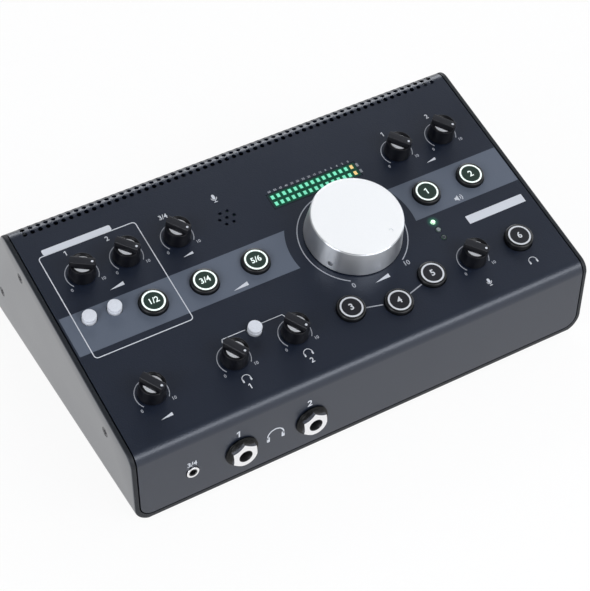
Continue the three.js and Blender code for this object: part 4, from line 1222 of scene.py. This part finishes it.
class CONTROLLER_OT_rear_sockets(bpy.types.Operator):
    """Build the input, line, monitor, data and power sockets at the back"""

    bl_idname = "controller.rear_sockets"
    bl_label = "Rear Sockets"

    def execute(self, context):
        for name, x in REAR_JACKS:
            phone_jack("rear_" + name, name, on_back(x), 3.6, 8.6, 8)
        for name, x in COMBO_JACKS:
            self.combo(name, on_back(x))
        self.data_socket(on_back(DATA_SOCKET))
        self.power_inlet(on_back(POWER_INLET))
        return {"FINISHED"}

    def combo(self, name, place):
        """A round face with a ring groove, a plug bore, three pin sockets and a latch."""
        made = loose(block((-13, -13, -25.8), (13, 13, -1.8), 0.6))
        unite(made, turned([(0, -2.1), (12, -2.1), (12, 0, 0.5), (0, 0)], 96))
        tools = Shape().add(lathe([(9.7, -6), (10.7, -6), (10.7, 3), (9.7, 3)], 72, True))
        bore = [(0, -21), (3.3, -21), (3.3, -0.5), (3.9, 0.1), (3.9, 3), (0, 3)]
        tools.add(turned(bore, 40))
        sleeve = [(1.05, -10), (1.45, -10), (1.45, -1.2), (1.05, -1.0)]
        pins = Shape()
        for turn in (-30, 90, 210):
            a = math.radians(turn)
            spot = Matrix.Translation((7.6 * math.cos(a), -7.6 * math.sin(a), 0))
            tools.add(rod(1.5, -12, 3, 24), spot)
            pins.add(lathe(sleeve, 24, True), place @ spot)
        cut(made, tools)
        cut(made, block((-2.5, 10.5, -1.8), (2.5, 17, 3)))
        dress(made, name + "_moulding", "black", place, name, "black_plastic", crease=30)
        latch = block((-2.1, 10.9, -1.6), (2.1, 12.0, 0.0), 0.3)
        build(name + "_latch", latch, "steel", place)
        build(name + "_pin_sockets", pins, "contact")

    def data_socket(self, place):
        """A folded steel shell with bevelled upper corners round a tongue with four contacts."""
        inner = [(-4.9, -4.4), (4.9, -4.4), (4.9, 2.2), (3.0, 4.4), (-3.0, 4.4), (-4.9, 2.2)]
        shell = loose(block((-6, -5.5, -16), (6, 5.5, 0), 0.25))
        cut(shell, prism(inner, -14.8, 3))
        dress(shell, "data_socket_shell", "steel", place, "usb_socket", "socket_steel")
        tongue = block((-2.8, -1.6, -15.4), (2.8, 1.6, -1.2), 0.2)
        build("data_socket_tongue", tongue, "white", place)
        leads = Shape()
        for x in (-1.25, 1.25):
            for y in (-1.66, 1.58):
                leads.add(block((x - 0.5, y, -13), (x + 0.5, y + 0.08, -1.6)))
        build("data_socket_contacts", leads, "contact", place)

    def power_inlet(self, place):
        """A square moulding with a round bore and a plated pin."""
        made = loose(block((-4.5, -5.5, -13.5), (4.5, 5.5, 0), 0.4))
        bore = [(0, -12.3), (3.1, -12.3), (3.1, -0.5), (3.5, 0.1), (3.5, 3), (0, 3)]
        cut(made, turned(bore, 40))
        dress(made, "power_inlet_moulding", "black", place, "dc_inlet", "black_plastic")
        pin = turned([(0, -12.9), (1, -12.9), (1, -1.2, 0.5), (0, -1.0)], 24)
        build("power_inlet_pin", pin, "nickel", place)


class CONTROLLER_OT_power_switch(bpy.types.Operator):
    """Build the power switch's frame and its rocker"""

    bl_idname = "controller.power_switch"
    bl_label = "Power Switch"

    def execute(self, context):
        place = on_back(POWER_SWITCH)
        w, h, wall = 9.5, 6.5, 1.8
        case = loose(prism(oblong(-w - wall, -h - wall, w + wall, h + wall, 1), 0.3, 1.8, 0.6))
        unite(case, block((-w, -h, -15), (w, h, 1.0)))
        cut(case, block((-w + wall, -h + wall, -13.2), (w - wall, h - wall, 6.8)))
        dress(case, "switch_frame", "black", place, "power_switch_case", "black_plastic")
        rise, tilt = 4.2, math.radians(8)
        dip = rise * math.tan(tilt)
        outline = arc(0, 0, rise, -math.pi, 0, 24) + [(rise, 4), (0, 4 - dip), (-rise, 4)]
        lean = place @ Matrix.Rotation(tilt, 4, "X")
        rocker = Shape().add(prism(outline, -7.45, 7.45, 0.3), lean @ ACROSS)
        for text, side in (("I", 1), ("O", -1)):
            flat = lean @ Matrix.Translation((0, side * rise / 2, 4 - dip / 2))
            flat = flat @ Matrix.Rotation(side * tilt, 4, "X")
            rocker.add(numeral(text, 3.4, -0.05, 0.05), flat, 1)
        fixings = ("power_rocker", "black_plastic", "rocker")
        build("switch_rocker", rocker, "gloss_black white_ink", None, *fixings)
        return {"FINISHED"}


def screw_tree():
    """Nodes that set a cross-slotted countersunk head on each point, facing its own way."""
    tree, given = new_tree(
        "Screw heads",
        Head_Radius="Float",
        Head_Height="Float",
        Slot_Length="Float",
        Slot_Width="Float",
        Facing="Vector",
        Finish="Material",
    )
    height = given["Head Height"]
    foot = calc(tree, "MULTIPLY", given["Head Radius"], 0.5)
    size = {"Vertices": 28, "Radius Top": given["Head Radius"], "Radius Bottom": foot}
    head = feed(tree, "GeometryNodeMeshCone", {**size, "Depth": height})
    seated = moved(tree, head, xyz(tree, Z=calc(tree, "MULTIPLY", height, -1.0)))
    slots = node(tree, "GeometryNodeMeshBoolean", operation="DIFFERENCE", solver="EXACT")
    tree.links.new(seated, slots.inputs["Mesh 1"])
    long, wide = given["Slot Length"], given["Slot Width"]
    for x, y in ((long, wide), (wide, long)):
        bar = feed(tree, "GeometryNodeMeshCube", {"Size": xyz(tree, X=x, Y=y, Z=height)})
        tree.links.new(bar, slots.inputs["Mesh 2"])
    facing = {"Vector": given["Facing"]}
    turn = feed(tree, "FunctionNodeAlignRotationToVector", facing, axis="Z")
    copies = copied(tree, given["Geometry"], slots.outputs["Mesh"], Rotation=turn)
    return close_tree(tree, copies, {"Material": given["Finish"]})


class CONTROLLER_OT_screws(bpy.types.Operator):
    """Build the countersunk screws in the sides"""

    bl_idname = "controller.screws"
    bl_label = "Screws"

    def execute(self, context):
        sizes = context.scene.controller_sizes
        tree = screw_tree()
        for name, facing, spots in SCREWS:
            heads = loose((spots, []), HOUSING)
            run_tree(
                heads,
                tree,
                Head_Radius=sizes.screw_diameter / 2,
                Head_Height=1.3 * MM,
                Slot_Length=3.4 * MM,
                Slot_Width=0.75 * MM,
                Facing=facing,
                Finish=FINISH["dark_steel"],
            )
            dress(heads, name, "", slot="socket_steel", crease=30)
        return {"FINISHED"}


# Print --------------------------------------------------------------------------------


INK = (-0.05, 0.06)  # an ink film's underside and face over the cover, thicker than real ink

# Pictograms: lines with their width, and filled outlines
PICTOGRAMS = {
    "headphones": (
        [([(5, -1.2), *arc(0, 0, 5, 0, math.pi, 24), (-5, -1.2)], 0.75)],
        [oblong(x - 0.95, -3.5, x + 0.95, 0.3, 0.6) for x in (-4.6, 4.6)],
    ),
    "speaker": (
        [(arc(0.6, 0, radius, -0.8, 0.8, 12), 0.5) for radius in (1.6, 3.0)],
        [[(-2.4, -1), (-1.2, -1), (0.6, -2.4), (0.6, 2.4), (-1.2, 1), (-2.4, 1)]],
    ),
    "microphone": (
        [
            (arc(0, 0.4, 2.0, -math.pi, 0, 16), 0.5),
            ([(0, -1.6), (0, -3.2)], 0.5),
            ([(-1.3, -3.2), (1.3, -3.2)], 0.5),
        ],
        [oblong(-1.05, -1, 1.05, 3, 1.029)],
    ),
    "ramp": ([], [[(-4, -1), (4, -1), (4, 1.1)]]),
}


class Print(Shape):
    """Ink films gathered for one piece."""

    def line(self, path, width, place=PANEL, closed=False):
        self.add(stroke(path, width, *INK, closed), place)

    def fill(self, outline, place=PANEL):
        self.add(prism(outline, *INK), place)

    def text(self, text, size, place):
        self.add(numeral(text, size, *INK), place)

    def dial(self, radius, reach, width, place):
        """A dial's arc, open at its foot."""
        start, end = math.radians(90 - reach), math.radians(90 + reach)
        self.line(arc(0, 0, radius, start, end, 56), width, place)

    def pictogram(self, name, size, place):
        lines, fills = PICTOGRAMS[name]
        for path, width in lines:
            self.line([(x * size, y * size) for x, y in path], width * size, place)
        for outline in fills:
            self.fill([(x * size, y * size) for x, y in outline], place)


class CONTROLLER_OT_print(bpy.types.Operator):
    """Print the stripe, the arcs, the rules, the numbers and the pictograms"""

    bl_idname = "controller.print"
    bl_label = "Print"

    def execute(self, context):
        self.stripe()
        self.dials()
        self.rules()
        self.numbers()
        self.pictograms()
        return {"FINISHED"}

    def stripe(self):
        """The broad band behind the button row, open round the volume knob."""
        low, high, left, right = 67.9, 93.9, -140.6, 141.2
        x, y, radius = *VOLUME, 38.85
        turn_low, turn_high = math.asin((low - y) / radius), math.asin((high - y) / radius)
        near = arc(x, y, radius, math.pi - turn_low, math.pi - turn_high, 24)
        far = arc(x, y, radius, turn_high, turn_low, 24)
        holes = [(LIT_BORE, 64, u, v) for _, u, v, *_ in LIT_BUTTONS[:5]]
        holes += [(WHITE_BORE, 48, u, v) for _, u, v in WHITE_BUTTONS[:2]]
        tools = Shape()
        for bore, steps, u, v in holes:
            tools.add(rod(bore, -BEYOND, BEYOND, steps), on_panel(u, v))
        for name, outline in (
            ("stripe_left", [(left, high), (left, low), *near]),
            ("stripe_right", [(right, low), (right, high), *far]),
        ):
            made = cut(loose(prism(outline, -0.3, 0.03), PANEL), tools)
            dress(made, name, "stripe", crease=0)

    def dials(self):
        """An arc round each knob with a number at each end."""
        arcs = Print()
        for _, u, v, _ in SMALL_KNOBS:
            arcs.dial(9.3, 126.5, 0.5, on_panel(u, v))
            arcs.text("0", 2.7, on_panel(u - 9.4, v - 7.5))
            arcs.text("10", 2.7, on_panel(u + 9.4, v - 7.5))
        arcs.dial(31.6, 147.5, 0.6, on_panel(*VOLUME))
        arcs.text("0", 4.2, on_panel(15.4, 45.0))
        arcs.text("10", 4.2, on_panel(50.2, 45.4))
        build("dial_print", arcs, "ink")

    def rules(self):
        """The box round the inputs, the blank tabs and the lines that link controls."""
        lines = Print()
        lines.line(oblong(-133.6, 63.6, -75, 134.4, 2), 0.55, PANEL, True)
        bracket = [(-68.4, 43.4), (-67.4, 45.5), (-30.3, 45.5), (-29.3, 43.4)]
        lines.line(bracket[:2] + [(-53.2, 45.5)], 0.45)
        lines.line([(-44.0, 45.5)] + bracket[2:], 0.45)
        build("rule_print", lines, "white_ink")
        tabs = Print()
        tabs.fill(oblong(-130.2, 134.6, -88.7, 138.4, 1))
        tabs.fill(oblong(98, 52.9, 136.8, 58.5))
        build("tab_print", tabs, "tab_ink")
        links = Print()
        links.line([(14.1, 29.5), (23.7, 27.2)], 0.7)
        links.line([(40.6, 26.9), (50.4, 29.5)], 0.7)
        build("link_print", links, "ink")

    def numbers(self):
        """Plain numbers at the controls, over the meter and over the front jacks."""
        signs = Print()
        for text, size, place in (
            ("1", 4.2, on_panel(-118.6, 131.0)),
            ("2", 4.2, on_panel(-93.9, 130.4)),
            ("3/4", 4.2, on_panel(-59.2, 130.6)),
            ("1", 4.2, on_panel(85.3, 129.6)),
            ("2", 4.2, on_panel(116.4, 130.3)),
            ("1", 4.4, on_panel(-67.3, 13.4)),
            ("2", 4.4, on_panel(-29.6, 13.2)),
            ("1", 6.3, on_front(PHONES_JACKS[0][1] - 1.0, 36.3)),
            ("2", 6.3, on_front(PHONES_JACKS[1][1] - 1.0, 36.3)),
            ("3/4", 4.6, on_front(MINI_JACK, 29.0)),
        ):
            signs.text(text, size, place)
        build("number_print", signs, "white_ink")
        scale = Print()
        for i, text in enumerate(METER_SCALE):
            scale.text(text, 1.9, on_panel(METER_START + METER_PITCH * i, 120.9))
        build("meter_scale_print", scale, "faint_ink")

    def pictograms(self):
        """Plain pictograms that say what a group of controls does."""
        signs = Print()
        signs.pictogram("headphones", 1.0, on_front(-59.8, 22.9))
        for name, size, u, v in (
            ("headphones", 0.5, -67.2, 18.3),
            ("headphones", 0.5, -29.4, 18.1),
            ("headphones", 0.5, 117.2, 16.0),
            ("speaker", 0.85, 101.2, 71.4),
            ("microphone", 0.85, -27.0, 130.2),
            ("microphone", 0.75, 86.2, 14.6),
            ("ramp", 1.1, -103, 100.4),
            ("ramp", 0.8, -58.2, 102.4),
            ("ramp", 0.8, 101.4, 101.6),
            ("ramp", 0.9, -115.8, 16.6),
            ("ramp", 1.2, 32.2, 42.6),
            ("ramp", 1.2, -42, 71.4),
        ):
            signs.pictogram(name, size, on_panel(u, v))
        build("pictogram_print", signs, "white_ink")


# Stage --------------------------------------------------------------------------------


class CONTROLLER_OT_inner_parts(bpy.types.Operator):
    """Finish the pieces that keep their solids from the frame"""

    bl_idname = "controller.inner_parts"
    bl_label = "Inner Parts"

    def execute(self, context):
        choices = {"board": "board", "shaft": "steel", "pot": "steel", "microphone": "dark_steel"}
        for name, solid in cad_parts.items():
            if solid.hide_render:
                continue
            kind = [finish for word, finish in choices.items() if word in name]
            solid.data.materials.clear()
            solid.data.materials.append(FINISH[kind[0] if kind else "black"])
        return {"FINISHED"}


def paper(name, tone, glow):
    """White paper: a share shows its own white to the camera, and all of it to reflections."""
    made = bpy.data.materials.new(name)
    made.use_nodes = True
    tree = made.node_tree
    tree.nodes.clear()
    path = node(tree, "ShaderNodeLightPath").outputs
    seen = calc(tree, "MULTIPLY", path["Is Camera Ray"], glow)
    mirrored = calc(tree, "MAXIMUM", path["Is Glossy Ray"], path["Is Transmission Ray"])
    share = calc(tree, "MAXIMUM", seen, mirrored)
    matt = feed(tree, "ShaderNodeBsdfDiffuse", {"Color": rgba(tone)})
    own = feed(tree, "ShaderNodeEmission", {"Color": rgba(tone), "Strength": 1.0})
    mix = feed(tree, "ShaderNodeMixShader", {0: share, 1: matt, 2: own})
    node(tree, "ShaderNodeOutputMaterial", {"Surface": mix})
    return made



def softbox(name, toward, distance, size, power):
    """A soft lamp in a direction from the controller's middle, facing it."""
    light = bpy.data.lights.new(name, "AREA")
    light.color = colour("#f8fbff")[:3]
    light.shape = "RECTANGLE"
    light.size, light.size_y = size
    light.energy = power
    lamp = bpy.data.objects.new(name, light)
    middle = Vector((0, 0, 0.05))
    way = Vector(toward).normalized()
    lamp.location = middle + way * distance
    lamp.rotation_euler = (-way).to_track_quat("-Z", "Y").to_euler()
    bpy.context.scene.collection.objects.link(lamp)


class CONTROLLER_OT_stage(bpy.types.Operator):
    """Set the floor, the backdrop, the studio light and the camera"""

    bl_idname = "controller.stage"
    bl_label = "Stage"

    def execute(self, context):
        stage = context.scene.controller_stage
        white = paper("white_paper", stage.paper, stage.paper_glow)
        ring = [(3000, 0), (3030, 0), (3030, 2100), (3000, 2100)]
        for name, solid in (
            ("floor", block((-3200, -3200, -40), (3200, 3200, 0))),
            ("backdrop", lathe(ring, 96, True)),
        ):
            made = loose(solid, Matrix.Scale(MM, 4))
            made.name = name
            made.data.materials.append(white)

        world = context.scene.world or bpy.data.worlds.new("studio")
        context.scene.world = world
        world.use_nodes = True
        tree = world.node_tree
        tree.nodes.clear()
        fill = {"Color": colour("#f4f6fa"), "Strength": stage.fill}
        lamp = node(tree, "ShaderNodeBackground", fill)
        node(tree, "ShaderNodeOutputWorld", {"Surface": lamp.outputs[0]})

        softbox("front_softbox", (0.30, -0.77, 0.56), 1.3, (1.1, 0.48), stage.front_lamp)
        softbox("left_softbox", (-0.82, -0.33, 0.46), 1.4, (0.7, 0.7), stage.left_lamp)
        softbox("right_softbox", (0.88, 0.05, 0.47), 1.4, (0.7, 0.7), stage.right_lamp)
        softbox("back_softbox", (0.36, 0.76, 0.55), 1.6, (1.0, 0.5), stage.back_lamp)

        # The camera solved from the photograph: its axes in the frame, its lens and its place
        right = Vector((0.86350787, -0.50432247, 0.00360588))
        down = Vector((-0.35597644, -0.61454133, -0.70400265))
        ahead = Vector((0.35726032, 0.60662822, -0.71018819))
        lens = bpy.data.cameras.new("camera")
        lens.sensor_fit = "HORIZONTAL"
        lens.sensor_width = 36
        lens.lens = 109.749
        camera = bpy.data.objects.new("camera", lens)
        turn = Matrix((right, -down, -ahead)).transposed().to_4x4()
        place = HOUSING @ Vector((-369.860, -546.120, 762.919))
        camera.matrix_world = Matrix.Translation(place) @ turn
        context.scene.collection.objects.link(camera)
        context.scene.camera = camera
        context.scene.view_settings.view_transform = "Standard"
        return {"FINISHED"}


# Panel --------------------------------------------------------------------------------


def length(name, description, millimetres):
    """A length a user may change."""
    return FloatProperty(
        name=name, description=description, default=millimetres * MM, min=0, unit="LENGTH"
    )


def tone(name, description, code):
    """A colour a user may change."""
    return FloatVectorProperty(
        name=name, description=description, default=colour(code)[:3], subtype="COLOR", min=0, max=1
    )


def lamp_power(name, description, watts):
    """A lamp's power a user may change."""
    return FloatProperty(name=name, description=description, default=watts, min=0, unit="POWER")


def count(name, description, number):
    """A count a user may change."""
    return IntProperty(name=name, description=description, default=number, min=1)


class ControllerSizes(bpy.types.PropertyGroup):
    """Sizes and counts a user may change"""

    vent_diameter: length("Vent Diameter", "Diameter of a vent", 2.8)
    vent_pitch: length("Vent Pitch", "Distance between vents", 4.68)
    vent_row_pitch: length("Vent Row Pitch", "Distance between rows round the bend", 3.6)
    vent_columns: count("Vent Columns", "Vents in a row", 58)
    vent_rows: count("Vent Rows", "Rows of vents round the back bend", 3)
    meter_columns: count("Meter Columns", "Lights in a row", METER_LIGHTS)
    meter_pitch: length("Meter Pitch", "Distance between the meter's lights", METER_PITCH)
    screw_diameter: length("Screw Diameter", "Diameter of a countersunk head", 5.6)


class ControllerTones(bpy.types.PropertyGroup):
    """Colours a user may change"""

    cover: tone("Cover", "Powder coat of the cover", "#131a28")
    chassis: tone("Chassis", "Powder coat of the chassis", "#1a1e24")
    stripe: tone("Stripe", "Print behind the button row", "#58606e")
    ink: tone("Grey Ink", "Arcs round the knobs", "#a2a5ad")
    white_ink: tone("White Ink", "Numbers, rules and pictograms", "#cfd2d8")
    knob: tone("Small Knobs", "Moulded knobs", "#090a10")
    volume: tone("Volume Knob", "Metal of the volume knob", "#d2d5da")
    lens: tone("Lit Lens", "Lens of a button that is on", "#1f332b")
    ring: tone("Light Ring", "Ring of a button that is on", "#e8f0ee")
    signal: tone("Signal Lights", "Meter lights", "#86ecc6")
    warning: tone("Warning Lights", "Last lights of the meter", "#ffdf9c")


class ControllerStage(bpy.types.PropertyGroup):
    """Paper and light"""

    paper: tone("Paper", "Floor and backdrop", "#ffffff")
    paper_glow: FloatProperty(
        name="Paper Glow", description="Share of plain white", default=0.92, min=0, max=1
    )
    fill: FloatProperty(
        name="Fill", description="Strength of the room's light", default=0.25, min=0
    )
    front_lamp: lamp_power("Front Lamp", "Power of the front lamp", 8.4)
    left_lamp: lamp_power("Left Lamp", "Power of the left lamp", 8.8)
    right_lamp: lamp_power("Right Lamp", "Power of the right lamp", 2.6)
    back_lamp: lamp_power("Back Lamp", "Power of the back lamp", 8.6)


STEPS = (
    CONTROLLER_OT_cover,
    CONTROLLER_OT_chassis,
    CONTROLLER_OT_feet,
    CONTROLLER_OT_small_knobs,
    CONTROLLER_OT_volume_knob,
    CONTROLLER_OT_lit_buttons,
    CONTROLLER_OT_white_buttons,
    CONTROLLER_OT_meter,
    CONTROLLER_OT_front_jacks,
    CONTROLLER_OT_rear_sockets,
    CONTROLLER_OT_power_switch,
    CONTROLLER_OT_screws,
    CONTROLLER_OT_print,
    CONTROLLER_OT_inner_parts,
    CONTROLLER_OT_stage,
)
GROUPS = (ControllerSizes, ControllerTones, ControllerStage)


class CONTROLLER_PT_panel(bpy.types.Panel):
    """Sidebar panel that lists the pieces"""

    bl_label = "Controller"
    bl_space_type = "VIEW_3D"
    bl_region_type = "UI"
    bl_category = "Controller"

    def draw(self, context):
        for step in STEPS:
            self.layout.operator(step.bl_idname)


def register():
    for kind in (*GROUPS, *STEPS, CONTROLLER_PT_panel):
        bpy.utils.register_class(kind)
    bpy.types.Scene.controller_sizes = PointerProperty(type=ControllerSizes)
    bpy.types.Scene.controller_tones = PointerProperty(type=ControllerTones)
    bpy.types.Scene.controller_stage = PointerProperty(type=ControllerStage)


def unregister():
    del bpy.types.Scene.controller_stage
    del bpy.types.Scene.controller_tones
    del bpy.types.Scene.controller_sizes
    for kind in reversed((*GROUPS, *STEPS, CONTROLLER_PT_panel)):
        bpy.utils.unregister_class(kind)


def main():
    register()
    make_finishes()
    for step in STEPS:
        group, name = step.bl_idname.split(".")
        getattr(getattr(bpy.ops, group), name)()


if __name__ == "__main__":
    main()
